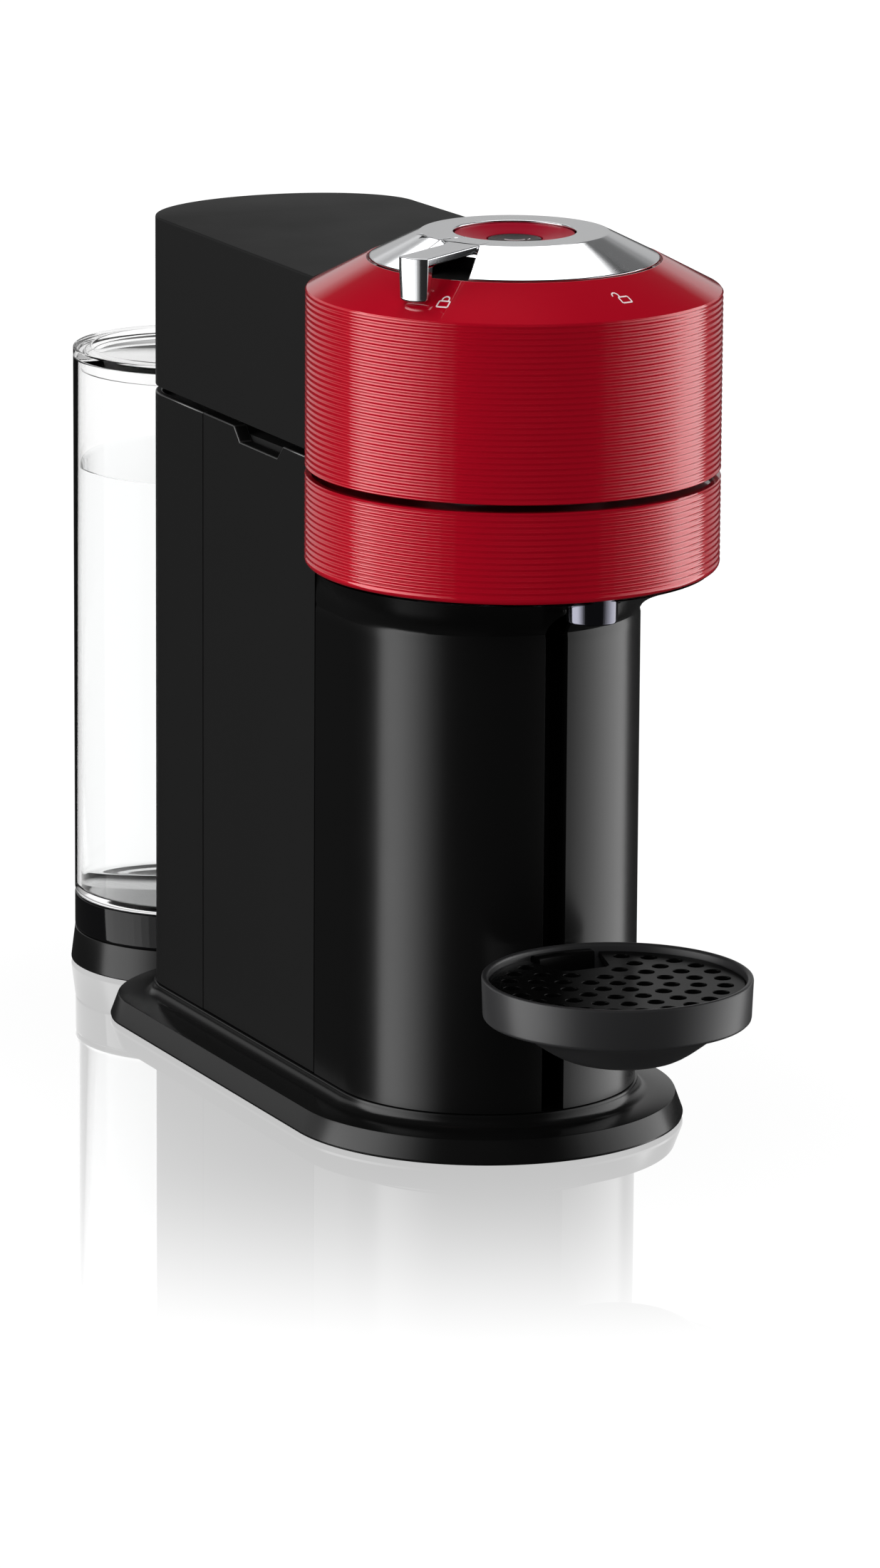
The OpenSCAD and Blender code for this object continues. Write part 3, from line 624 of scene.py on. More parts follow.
# %% Dish and button
dish_low, dish_high = span("button_dish")
button_low, button_high = span("button_cap")
BUTTON_TOP = LEVER_TOP - 2.6    # about 2 mm above the frame's button
dish_profile = eased([(9.6, BUTTON_TOP, 0.2), (14, BUTTON_TOP + 0.5, 3), (18, BUTTON_TOP + 1.3, 3),
                      (20.4, dish_high.z - 0.2, 0.3), (20.4, 311),
                      (19, dish_low.z), (9.6, dish_low.z)], 0.3)
dish = turned("dish", dish_profile, red_satin, steps=128, sharp=50)
fit(dish, "head", "red_dish", "button_dish")
BUTTON_R = button_high.x
button_profile = [(0, button_low.z), (3, button_low.z), (3, 302), (BUTTON_R, 302),
                  (BUTTON_R, BUTTON_TOP - 0.5), (BUTTON_R - 0.15, BUTTON_TOP - 0.15), (BUTTON_R - 0.5, BUTTON_TOP),
                  (BUTTON_R - 3, BUTTON_TOP - 0.25), (0, BUTTON_TOP - 0.5)]
button = turned("button", button_profile, gloss_abs, steps=96, sharp=50)
fit(button, "button", "button_black", "button_cap")

# %% Signs on the cone and on the button


def ribbon(name, lines, place, width, material):
    """Thin flat ribbons along lines drawn in a plane, each point put in space by place(x, y)."""
    verts, faces = [], []
    for line in lines:
        for i, (x, y) in enumerate(line):
            x0, y0 = line[max(i - 1, 0)]
            x1, y1 = line[min(i + 1, len(line) - 1)]
            run = math.hypot(x1 - x0, y1 - y0)
            nx, ny = -(y1 - y0) / run * width / 2, (x1 - x0) / run * width / 2
            for side, lift in ((1, 0.0), (1, 0.1), (-1, 0.1), (-1, 0.0)):
                verts.append(place(x + side * nx, y + side * ny, lift))
            if i:
                a, b = len(verts) - 8, len(verts) - 4
                faces += [(a + k, a + (k + 1) % 4, b + (k + 1) % 4, b + k) for k in range(4)]
        n = 4 * len(line)
        faces += [tuple(range(len(verts) - n, len(verts) - n + 4)), tuple(range(len(verts) - 4, len(verts)))]
    return piece(name, verts, faces, material)


def on_cone(radius, angle):
    """Places a drawing on the cone: x to the right, y up the slope, angle in degrees left of the front."""
    def place(x, y, lift):
        r = radius - 1.25 * y * math.cos(math.atan(CONE_SLOPE))
        a = math.radians(-angle) + x / radius
        z = CONE_LOW + (HEAD_R - r) * CONE_SLOPE + lift
        return r * math.sin(a), -r * math.cos(a), z
    return place


def padlock(shackle):
    """A padlock's lines: a body, and a shackle moved aside by this much."""
    body = [(-1.7, -2.2), (1.7, -2.2), (1.9, -2.0), (1.9, 0.2), (1.7, 0.4), (-1.7, 0.4), (-1.9, 0.2),
            (-1.9, -2.0), (-1.7, -2.2)]
    end = 0.4 if shackle == 0 else 1.0      # an open shackle stays short of the body
    return [body, [(1.2 + shackle, 0.4), *arc(shackle, 1.2, 1.2, 0, 180, 10), (-1.2 + shackle, end)]]


locked_sign = ribbon("locked_sign", padlock(0), on_cone(61.3, 49.5), 0.45, pad_print)
open_sign = ribbon("open_sign", padlock(-2.4), on_cone(60.4, -9.8), 0.45, pad_print)
fit(locked_sign, "head", "chrome_lever")
fit(open_sign, "head", "chrome_lever")
cup_line = arc(0, 1.6, 4.2, 215, 325, 20)
steam_line = [(4.4, -1.2), (5.2, -0.2), (5.0, 0.9)]


def on_button(x, y, lift):
    """Places a drawing on the button's slightly hollow top, upright as seen from the front left."""
    c, s = math.cos(math.radians(-26)), math.sin(math.radians(-26))
    return x * c - y * s, x * s + y * c, BUTTON_TOP - 0.45 + lift * 2.5


button_sign = ribbon("button_sign", [cup_line, steam_line], on_button, 0.3, pad_print)
fit(button_sign, "button", "chrome_lever")

# %% [markdown]
# ## The rear cover
# The cover behind the head lifts with it. Its top is level with the foot of the cone, and its lower rear
# corner is rounded. It is a hollow moulding, so it is drawn as an outer skin and an inner skin over the
# same outline, joined at the rim, and the round hole for the head is cut out of the front.

# %% Rear cover
COVER_LOW = cover_low.z
COVER_ROUND = 5.0       # radius of the lower rear corner
COVER_RIM = 0.7         # radius of the rim at the top
BACK = REAR_Y + REAR_DEPTH


def cover_ring(z, inset):
    """The body's outline at a height, cut short at the rear where the lower corner is rounded."""
    near = max(0.0, COVER_LOW + COVER_ROUND - z)
    reach = BACK - inset - COVER_ROUND + math.sqrt(max(COVER_ROUND ** 2 - near ** 2, 0.0))
    return [(x, min(y, reach), z) for x, y in outline(-inset)]


outer_steps = [COVER_LOW + COVER_ROUND * (1 - math.cos(TURN * k / 32)) for k in range(1, 9)]
outer_rings = [cover_ring(COVER_LOW + 0.05, 0.25), *(cover_ring(z, 0) for z in outer_steps)]
for k in range(5):
    a = TURN * k / 16
    outer_rings.append([(x, y, CONE_LOW - COVER_RIM * (1 - math.sin(a)))
                        for x, y in outline(-COVER_RIM * (1 - math.cos(a)))])
inner_rings = [cover_ring(z, WALL) for z in (COVER_LOW + 0.05, *outer_steps)]
inner_rings.append([(x, y, CONE_LOW - WALL) for x, y in outline(-WALL)])
count = len(outer_rings[0])
verts, faces = skin(outer_rings + inner_rings[::-1], through=True)
top_face = (len(outer_rings) - 1) * count
faces = [f for f in faces if not {top_face, top_face + count} <= set(f) and
         not all(top_face <= i < top_face + 2 * count for i in f)]
faces += [tuple(range(top_face, top_face + count)), tuple(range(top_face + count, top_face + 2 * count))]
cover = piece("rear_cover_shell", verts, faces, cover_abs, sharp=40)
HOLE_FOR_HEAD = HEAD_R + 0.06
hole_ring = [(HOLE_FOR_HEAD * math.cos(TURN * k / 232), HOLE_FOR_HEAD * math.sin(TURN * k / 232))
             for k in range(232)]
carve(cover, *prism(hole_ring, 200, 340))
carve(cover, *block((-90, 90), (-90, 0), (200, 340)))
fit(cover, "head", "black_cover", "rear_cover")

# %% [markdown]
# ## The lower body
# Four mouldings share one outline: the column in front, a panel on the right, the used capsule bin's own
# panel on the left and the rear shell. The walls are carried round the outline and cut at the seams, 0.7
# millimetres apart, so that the seams show as fine dark lines. Only the edges near the top are rounded, and
# they get a glossier, lighter grey, a painted highlight that makes the light line along the top of the body and
# the bin's finger notch.

# %% Body walls
RIM_ROUND = 0.5         # radius of the rounded rims that carry the painted highlight
RIM_ZONE = BODY_HIGH - 6    # edges above this height are rounded
ACROSS, ALONG = (-150, 150), (-150, 350)    # beyond the body on all sides


def body_wall(name, cuts):
    """The body's wall without what lies in these blocks, each given by its reach in x and in y."""
    wall = carried(name, [(0.0, BODY_LOW + 0.3), (0.0, BODY_HIGH), (-WALL, BODY_HIGH), (-WALL, BODY_LOW + 0.3)],
                   side_abs)
    for x, y in cuts:
        carve(wall, *block(x, y, (-20, 400)))
    return wall


rear_wall = body_wall("rear_wall", [(ACROSS, (-150, SEAMS[1] + SEAM_GAP))])
right_wall = body_wall("right_wall", [(ACROSS, (-150, SEAMS[0])), (ACROSS, (SEAMS[1], 350)), ((-150, 0), ALONG)])
# the rims of these walls get the lighter grey of a painted highlight
for wall, nodes in ((rear_wall, "rear_shell"), (right_wall, "right_panel")):
    fit(rim_with_painted_highlight(wall, RIM_ROUND, RIM_ZONE, rim_highlight_abs), "machine", "black_side", nodes)

# %% Bin panel with its finger notch
NOTCH = (72.0, 77.0, 108.5, 113.5)      # the notch is wider at the top
NOTCH_DEPTH = 5.0
PANEL_THICK = 5.0


def side_x(y):
    """The body's half width along its straight sides."""
    t = (y - COLUMN_Y) / (REAR_Y - COLUMN_Y)
    return BODY_R + (REAR_HALF - BODY_R) * t


bin_low, bin_high = span("bin_panel")
panel_edge = [(SEAMS[0], bin_low.z), (SEAMS[1], bin_low.z), (SEAMS[1], BODY_HIGH), (NOTCH[3], BODY_HIGH),
              (NOTCH[2], BODY_HIGH - NOTCH_DEPTH), (NOTCH[1], BODY_HIGH - NOTCH_DEPTH), (NOTCH[0], BODY_HIGH),
              (SEAMS[0], BODY_HIGH)]
panel_rings = [[(-side_x(y) + deep, y, z) for y, z in panel_edge] for deep in (0.0, PANEL_THICK)]
panel = piece("bin_front", *capped(panel_rings), side_abs)
# the panel's rims and notch get the lighter grey of a painted highlight
rim_with_painted_highlight(panel, RIM_ROUND, RIM_ZONE, rim_highlight_abs)
fit(panel, "bin", "black_side", "bin_panel")

# %% [markdown]
# ## The column and its flare
# Under the head the column opens out in a smooth cove until it meets the round band, like the neck of a
# vase. The cove is a loft: each ring is a blend between the column's outline and the head's circle, and
# the share of the circle grows faster and faster with height. A slot runs down the front of the column
# and up the cove, for the hook of the cup tray.

# %% Column with its slot
SLOT_HALF = 4.25
SLOT_ROUND = 1.2
EDGE_Z = span("head_shoulder")[0].z - 0.6    # the soft edge between the column and the cove
CIRCLE_R = ring_high.x - WALL - 0.3
COVE_TOP = ring_low.z - 1.0
COLUMN_STEPS = 120
FLARE_EYE = 12          # the outline spreads to the circle along rays from here, behind the head's axis


def circle_hit(radius, angle):
    """Where a ray from the flare's eye at this angle meets the head's circle."""
    dx, dy = math.cos(angle), math.sin(angle)
    half = FLARE_EYE * dy
    t = -half + math.sqrt(half ** 2 - FLARE_EYE ** 2 + radius ** 2)
    return t * dx, FLARE_EYE + t * dy


def column_ring(grow, z, share=0.0):
    """The column's outline, front of the seam only, blended towards the head's circle."""
    back = SEAMS[0] - SEAM_GAP
    ring = [(-side_x(back) - grow, back)]
    for k in range(COLUMN_STEPS + 1):
        a = math.pi + math.pi * k / COLUMN_STEPS
        ring.append(((BODY_R + grow) * math.cos(a), COLUMN_Y + (BODY_R + grow) * math.sin(a)))
    ring.append((side_x(back) + grow, back))
    circle = CIRCLE_R + grow
    mixed = []
    for x, y in ring:
        if y >= back - 0.01:
            goal = (math.copysign(math.sqrt(circle ** 2 - back ** 2), x), back)
        else:
            goal = circle_hit(circle, math.atan2(y - FLARE_EYE, x))
        mixed.append((x + (goal[0] - x) * share, y + (goal[1] - y) * share, z))
    return mixed


def column_skin(inset):
    """Rings up the column and its cove, moved inwards by inset."""
    rings = [column_ring(-inset, BODY_LOW + 0.3), column_ring(-inset, 60), column_ring(-inset, 120)]
    rings += [column_ring(-inset, EDGE_Z - d) for d in (14, 4, 1.6)]
    rings += [column_ring(-inset - 0.25, EDGE_Z - 0.3), column_ring(-inset - 0.3, EDGE_Z + 0.5)]
    for k in range(1, 15):
        t = k / 14
        rings.append(column_ring(-inset, EDGE_Z + 0.5 + (COVE_TOP - EDGE_Z - 0.5) * t, t ** 1.6))
    return rings


shell_rings = column_skin(0) + column_skin(WALL)[::-1]
verts, faces = skin(shell_rings, around=False)
n = len(shell_rings[0])
left_end = tuple(i * n for i in range(len(shell_rings)))
right_end = tuple(i * n + n - 1 for i in range(len(shell_rings)))
column = piece("column", verts, faces + [left_end, right_end], column_abs, sharp=28)
slot_shape = [(-SLOT_HALF, -90), (SLOT_HALF, -90), (SLOT_HALF, -20), (-SLOT_HALF, -20)]
carve(column, *prism(slot_shape, BODY_LOW - 2, COVE_TOP + 3))
nozzle_low, nozzle_high = span("outlet_nozzle")
NOZZLE_Y = (nozzle_low.y + nozzle_high.y) / 2 - AXIS_Y
NOZZLE_R = nozzle_high.x
well = arc(0, NOZZLE_Y, NOZZLE_R + 1.0, 0, 354, 59)
carve(column, *prism(well, 150, 215))
rounded_edges(column, 0.5, 50)
fit(column, "machine", "black_column", "column_shell", "head_shoulder")

# %% Spout
NOZZLE_TOP = nozzle_high.z
spout_profile = eased([(3, NOZZLE_TOP), (3, 192.5), (6.6, nozzle_low.z, 0.3), (NOZZLE_R, nozzle_low.z, 0.9),
                       (NOZZLE_R, NOZZLE_TOP)], 0.3, 4)
spout = turned("spout", spout_profile, dark_chrome, (0, NOZZLE_Y), 96)
fit(spout, "machine", "dark_chrome", "outlet_nozzle")

# %% [markdown]
# ## The base
# The base is a wide foot under the whole machine. Its rim slopes slightly, its top runs in flat and then
# rises in a concave fillet to the body, which is where the long soft highlight lies. Behind the body it
# carries the round stand of the tank. One section carried round the outline makes all of it but the stand.

# %% Base and tank stand
base_low, base_high = span("base_plate")
BASE_REACH = base_high.x - BODY_R
BASE_EDGE = 9.3         # top of the rim
BASE_LEDGE = 0.9        # how far the fillet's top stands out from the body
BASE_FLOOR = 4.8
tank_low, tank_high = span("tank_shell")
TANK_R = tank_high.x
TANK_Y = (tank_low.y + tank_high.y) / 2 - AXIS_Y
STAND_TOP = span("tank_collar")[0].z
fillet_low = BASE_EDGE + 0.3
fillet_r = BODY_LOW - fillet_low - BASE_LEDGE
base_section = [(BASE_REACH - 0.8, base_low.z), (BASE_REACH - 0.2, base_low.z + 0.25),
                (BASE_REACH, base_low.z + 1.0), (BASE_REACH - 2.6, BASE_EDGE - 0.5),
                (BASE_REACH - 2.8, BASE_EDGE - 0.15), (BASE_REACH - 3.2, BASE_EDGE)]
base_section += [(BASE_LEDGE + fillet_r - fillet_r * math.sin(a), fillet_low + fillet_r * (1 - math.cos(a)))
                 for a in (k * TURN / 48 for k in range(13))]
base_section += [(BASE_LEDGE, BODY_LOW - 0.5), (0.7, BODY_LOW - 0.12), (0.3, BODY_LOW), (-6, BODY_LOW),
                 (-6, BASE_FLOOR), (4, BASE_FLOOR), (4, base_low.z)]
base = carried("base", base_section, base_abs, sharp=28)
under = piece("base_floor", *prism(outline(-5.9), BASE_FLOOR, 8.0), base_abs)
stand_r = span("base_plate")[1].y - AXIS_Y - TANK_Y
stand_profile = eased([(0, base_low.z), (stand_r, base_low.z, 0.8), (TANK_R, STAND_TOP, 0.4),
                       (13, STAND_TOP, 0.4), (13, 6.5), (0, 6.5)], 0.3, 4)
stand = turned("stand", stand_profile, base_abs, (0, TANK_Y), 144)
with bpy.context.temp_override(active_object=base, selected_editable_objects=[base, under, stand]):
    bpy.ops.object.join()
fit(base, "machine", "black_side", "base_plate")
print("stand radius", round(stand_r, 2), "tank radius", TANK_R)

# %% [markdown]
# ## The cup tray
# The tray is a shallow round dish of satin grey plastic. Its floor falls away in a soft bowl, deepest a
# little in front of the middle, which collects the drips and shows from below. The drawing is a loft of
# circles whose centres move forward as they get smaller.

# %% Tray dish
tray_low, tray_high = span("drip_tray")
TRAY_R = tray_high.x
TRAY_Y = tray_low.y + TRAY_R - AXIS_Y
TRAY_Z = tray_high.z
GRILLE_Z = span("tray_grille")[1].z
TRAY_WALL = 14.4        # height of the upright wall
BOWL_SHIFT = -4.0       # the bottom of the bowl lies this far in front of the tray's centre


def shifted_circle(radius, back, z, steps=160):
    """A level circle whose centre lies this far behind the tray's own."""
    return [(radius * math.cos(TURN * k / steps), TRAY_Y + back + radius * math.sin(TURN * k / steps), z)
            for k in range(steps)]


def bowl(r_top, z_top, r_low, z_low, steps=12):
    """Circles from the tray's wall down to the bottom of the bowl, in a soft S curve."""
    rings = []
    for k in range(steps + 1):
        t = k / steps
        s = t * t * (3 - 2 * t)
        rings.append(shifted_circle(r_top + (r_low - r_top) * t, BOWL_SHIFT * t,
                                    z_top + (z_low - z_top) * s))
    return rings


wall_low = TRAY_Z - TRAY_WALL
tray_rings = [shifted_circle(0.01, BOWL_SHIFT, tray_low.z),
              *bowl(TRAY_R - 2.2, wall_low - 0.2, 16, tray_low.z)[::-1]]
tray_rings += [shifted_circle(r, 0, z) for r, z in ((TRAY_R - 1.2, wall_low), (TRAY_R - 0.7, wall_low + 0.5),
               (TRAY_R - 0.55, wall_low + 1.2), (TRAY_R - 0.05, TRAY_Z - 0.9), (TRAY_R - 0.15, TRAY_Z - 0.35),
               (TRAY_R - 0.5, TRAY_Z - 0.05), (TRAY_R - 0.9, TRAY_Z), (TRAY_R - 1.5, TRAY_Z - 0.05),
               (TRAY_R - 2.0, TRAY_Z - 0.4), (TRAY_R - 2.3, TRAY_Z - 1.0), (TRAY_R - 2.4, GRILLE_Z - 2),
               (TRAY_R - 4.0, GRILLE_Z - 2.05), (TRAY_R - 4.0, wall_low + 2))]
tray_rings += [*bowl(TRAY_R - 5.5, wall_low + 1.8, 14, tray_low.z + 2)]
tray_rings += [shifted_circle(0.01, BOWL_SHIFT, tray_low.z + 2)]
tray = piece("tray", *skin(tray_rings), tray_abs, sharp=50)
fit(tray, "tray", "tray_grey", "drip_tray")
lip_rings = []
for z, inset in ((GRILLE_Z - 5, 0.0), (GRILLE_Z + 0.2, 0.0), (GRILLE_Z + 0.9, 0.3), (GRILLE_Z + 1.2, 1.0)):
    outer = arc(0, TRAY_Y, TRAY_R - 2.5 - inset, 90 - 15, 90 + 15, 16)
    inner = arc(0, TRAY_Y, TRAY_R - 8.0 + inset, 90 + 16, 90 - 16, 16)
    lip_rings.append([(x, y, z) for x, y in outer + inner])
lip = piece("tray_lip", *capped(lip_rings), gloss_abs, sharp=50)
fit(lip, "tray", "grille_black")

# %% [markdown]
# ## The drip grille
# The grille is a thin plate with dozens of equal holes on rings round one hole in the middle: six, twelve,
# eighteen and twenty-four of them. A Geometry Nodes tree puts points on mesh circles, drops those that
# would fall into the finger recess, sets a small circle on each point, fills the plate's outline with all
# of these circles left open, and extrudes the result. Hole size and spacing are the tree's inputs.

# %% A tree that makes a perforated plate
HOLE_R = 2.8
HOLE_PITCH = 9.1
GRILLE_R = TRAY_R - 2.8
RECESS_FROM = 17.0      # behind this y no hole may touch the finger recess
RECESS_HALF = 7.5       # half the width that is kept free there, at y = 0
RECESS_SPREAD = 0.23    # and its growth with y


def recess_outline():
    """The plate's outline from above: a circle with a finger recess cut into its rear."""
    side = math.degrees(math.acos(14.2 / GRILLE_R))
    rim = arc(0, 0, GRILLE_R, 180 - side, 360 + side, 150)
    return rim + [(9.4, 25.0), (8.6, 22.6), (6.6, 21.2), (-6.6, 21.2), (-8.6, 22.6), (-9.4, 25.0)]


def grille_tree():
    """Fills an outline with a plate that has rings of round holes."""
    tree = start_tree("perforated_plate", Hole_radius=0.0028, Pitch=0.0091, Thickness=0.002, Material=None)
    given = add(tree, "NodeGroupInput")
    centre = (0, (TRAY_Y + AXIS_Y) * MM, GRILLE_Z * MM)
    places = add(tree, "GeometryNodeJoinGeometry")
    middle = add(tree, "GeometryNodePoints", {"Count": 1})
    tree.links.new(middle.outputs[0], places.inputs[0])
    for ring in range(1, 5):
        radius = add(tree, "ShaderNodeMath", {0: given.outputs["Pitch"], 1: float(ring)},
                     operation="MULTIPLY")
        circle = add(tree, "GeometryNodeMeshCircle", {"Vertices": 6 * ring, "Radius": radius.outputs[0]})
        turn = add(tree, "GeometryNodeTransform",
                   {"Geometry": circle.outputs[0], "Rotation": (0, 0, TURN / 4)})
        dots = add(tree, "GeometryNodeMeshToPoints", {"Mesh": turn.outputs[0]})
        tree.links.new(dots.outputs[0], places.inputs[0])
    place = add(tree, "GeometryNodeInputPosition")
    split = add(tree, "ShaderNodeSeparateXYZ", {0: place.outputs[0]})
    side = add(tree, "ShaderNodeMath", {0: split.outputs["X"]}, operation="ABSOLUTE")
    slope = add(tree, "ShaderNodeMath", {0: split.outputs["Y"], 1: RECESS_SPREAD, 2: RECESS_HALF * MM},
                operation="MULTIPLY_ADD")
    narrow = add(tree, "FunctionNodeCompare", {0: side.outputs[0], 1: slope.outputs[0]},
                 operation="LESS_THAN")
    behind = add(tree, "FunctionNodeCompare", {0: split.outputs["Y"], 1: RECESS_FROM * MM},
                 operation="GREATER_THAN")
    lost = add(tree, "FunctionNodeBooleanMath", {0: narrow.outputs[0], 1: behind.outputs[0]}, operation="AND")
    kept = add(tree, "GeometryNodeDeleteGeometry",
               {"Geometry": places.outputs[0], "Selection": lost.outputs[0]})
    hole = add(tree, "GeometryNodeCurvePrimitiveCircle",
               {"Resolution": 28, "Radius": given.outputs["Hole radius"]})
    holes = add(tree, "GeometryNodeInstanceOnPoints",
                {"Points": kept.outputs[0], "Instance": hole.outputs[0]})
    cut = add(tree, "GeometryNodeRealizeInstances", {0: holes.outputs[0]})
    rim = add(tree, "GeometryNodeMeshToCurve", {"Mesh": given.outputs["Geometry"]})
    both = add(tree, "GeometryNodeJoinGeometry")
    tree.links.new(rim.outputs[0], both.inputs[0])
    tree.links.new(cut.outputs[0], both.inputs[0])
    filled = add(tree, "GeometryNodeFillCurve", {0: both.outputs[0]})
    plate = add(tree, "GeometryNodeTransform", {"Geometry": filled.outputs[0], "Translation": centre})
    normal = add(tree, "GeometryNodeInputNormal")
    down = add(tree, "ShaderNodeSeparateXYZ", {0: normal.outputs[0]})
    upside = add(tree, "FunctionNodeCompare", {0: down.outputs["Z"], 1: 0.0}, operation="LESS_THAN")
    up = add(tree, "GeometryNodeFlipFaces", {"Mesh": plate.outputs[0], "Selection": upside.outputs[0]})
    thick = add(tree, "ShaderNodeMath", {0: given.outputs["Thickness"], 1: -1.0}, operation="MULTIPLY")
    lowered = add(tree, "ShaderNodeCombineXYZ", {"Z": thick.outputs[0]})
    lower_face = add(tree, "GeometryNodeTransform",
                     {"Geometry": up.outputs[0], "Translation": lowered.outputs[0]})
    raised = add(tree, "GeometryNodeExtrudeMesh",
                 {"Mesh": lower_face.outputs[0], "Offset Scale": given.outputs["Thickness"],
                  "Individual": False})
    bottom = add(tree, "GeometryNodeFlipFaces", {"Mesh": lower_face.outputs[0]})
    whole = add(tree, "GeometryNodeJoinGeometry")
    tree.links.new(raised.outputs[0], whole.inputs[0])
    tree.links.new(bottom.outputs[0], whole.inputs[0])
    merged = add(tree, "GeometryNodeMergeByDistance", {"Geometry": whole.outputs[0], "Distance": 1e-6})
    return end_tree(tree, merged.outputs[0], given.outputs["Material"])


PLATE = grille_tree()
rim_mesh = bpy.data.meshes.new("grille")
rim_points = [(x * MM, y * MM, 0) for x, y in recess_outline()]
rim_mesh.from_pydata(rim_points, [(k, (k + 1) % len(rim_points)) for k in range(len(rim_points))], [])
grille = bpy.data.objects.new("grille", rim_mesh)
bpy.context.scene.collection.objects.link(grille)
run_tree(grille, PLATE, Hole_radius=HOLE_R * MM, Pitch=HOLE_PITCH * MM, Thickness=2 * MM, Material=gloss_abs)
rounded_edges(grille, 0.3, 40, 2)
fit(grille, "grille", "grille_black", "tray_grille")

# %% [markdown]
# ## The water tank
# The tank is a clear cylinder with a flat lid, a smoked collar below and water in it. Glass-like pieces
# need true wall thickness, because what the eye reads as clear plastic is the double line at each edge.
# The water is a solid of its own, a tenth of a millimetre inside the wall, with a small rise at the wall
# where it wets the plastic.

# %% Tank, collar, water and lid
TANK_TOP = tank_high.z
TANK_LOW = tank_low.z
TANK_WALL = 1.8
WATER_Z = 188.0         # the water's level
shell_profile = eased([(6, TANK_LOW), (TANK_R - 0.4, TANK_LOW, 0.3), (TANK_R, TANK_LOW + 1.4, 0.5),
                       (TANK_R, TANK_TOP), (TANK_R - TANK_WALL, TANK_TOP),
                       (TANK_R - TANK_WALL, TANK_LOW + 2.4, 1.2), (6, TANK_LOW + 2.4)], 0.4, 4)
tank = turned("tank_wall", shell_profile, tank_resin, (0, TANK_Y), 176, 45)
fit(tank, "tank", "tank_clear", "tank_shell")
water_r = TANK_R - TANK_WALL - 0.1
water_profile = [(0, TANK_LOW + 2.6), (water_r - 0.9, TANK_LOW + 2.6), (water_r, TANK_LOW + 3.6),
                 (water_r, WATER_Z + 1.0), (water_r - 0.3, WATER_Z + 0.5), (water_r - 0.9, WATER_Z + 0.12),
                 (water_r - 2.2, WATER_Z), (0, WATER_Z)]
contents = turned("tank_water", water_profile, water, (0, TANK_Y), 160, 50)
fit(contents, "tank", "tank_clear")
collar_low, collar_high = span("tank_collar")
collar_profile = eased([(10, collar_low.z), (TANK_R - 0.5, collar_low.z, 0.3), (TANK_R, collar_low.z + 0.8, 0.4),
                        (TANK_R, collar_high.z - 0.5, 0.4), (TANK_R - 0.6, collar_high.z, 0.3),
                        (TANK_R - 2.4, collar_high.z), (TANK_R - 2.4, collar_low.z + 2),
                        (10, collar_low.z + 2)], 0.3)
collar = turned("tank_collar_ring", collar_profile, smoked_resin, (0, TANK_Y), 160, 45)
sleeve_profile = eased([(7.5, collar_low.z), (9.9, collar_low.z), (9.9, collar_high.z - 0.1),
                        (7.5, collar_high.z - 0.1)], 0.2)
sleeve = turned("sleeve", sleeve_profile, smoked_resin, (0, TANK_Y), 64, 45)
with bpy.context.temp_override(active_object=collar, selected_editable_objects=[collar, sleeve]):
    bpy.ops.object.join()
fit(collar, "tank", "tank_smoke", "tank_collar")
lid_low, lid_high = span("tank_lid")
lid_profile = eased([(0, lid_high.z - 2.4), (TANK_R - 7.5, lid_high.z - 2.4, 0.5), (TANK_R - 6.6, lid_high.z, 0.5),
                     (TANK_R, lid_high.z, 0.7), (TANK_R, TANK_TOP + 0.15, 0.4), (TANK_R - 2.2, TANK_TOP + 0.1),
                     (TANK_R - 2.2, lid_low.z, 0.4), (TANK_R - 4.0, lid_low.z),
                     (TANK_R - 4.2, lid_high.z - 4.2, 0.6), (0, lid_high.z - 4.2)], 0.3, 4)
lid = turned("tank_cap", lid_profile, tank_resin, (0, TANK_Y), 160, 45)
fit(lid, "lid", "tank_clear", "tank_lid")

# %% [markdown]
# ## The mechanism
# The rest of the frame keeps its own shapes, which are right already: turned, cast and moulded parts that
# show when the head is open, the tank is off or the bin is out. Each gets the finish of what it is made
# of. The parts keep the frame's meshes, so only their material changes.

# %% Finishes for the parts of the mechanism
finishes = {
    hinge_steel: ["hinge_arms", "hinge_brackets"],
    steel: ["hinge_pin", "case_screws", "cup_bearing", "head_bearing", "needles", "button_spring"],
    cast_alloy: ["thermoblock", "coffee_collector", "spin_motor"],
    brew_alloy: ["capsule_cup", "brew_plate"],
    inner_abs: ["chassis", "capsule_chute", "capsule_bin", "head_plate", "cover_plate", "lock_base",
                "lock_collar", "tray_hook"],
    gloss_abs: ["slot_rail"],
    foot_rubber: ["foot_pads", "pump_mounts", "cable_gland"],
    pump_resin: ["pump", "flow_meter", "valve_socket", "tank_valve"],
    hose_rubber: ["cold_hose", "hot_hose"],
    seal_rubber: ["socket_seal", "brew_seal"],
    board_green: ["control_board"],
}
for material, names in finishes.items():
    for name in names:
        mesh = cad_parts[name].data
        mesh.materials.clear()
        mesh.materials.append(material)
print("finished", sum(len(names) for names in finishes.values()), "parts of the mechanism")

# %% [markdown]
# ## Camera
# A long lens from well back keeps the upright edges upright, as product pictures do. It looks a little
# down from the left of the front. Its place is worked out from the angles and the distance.

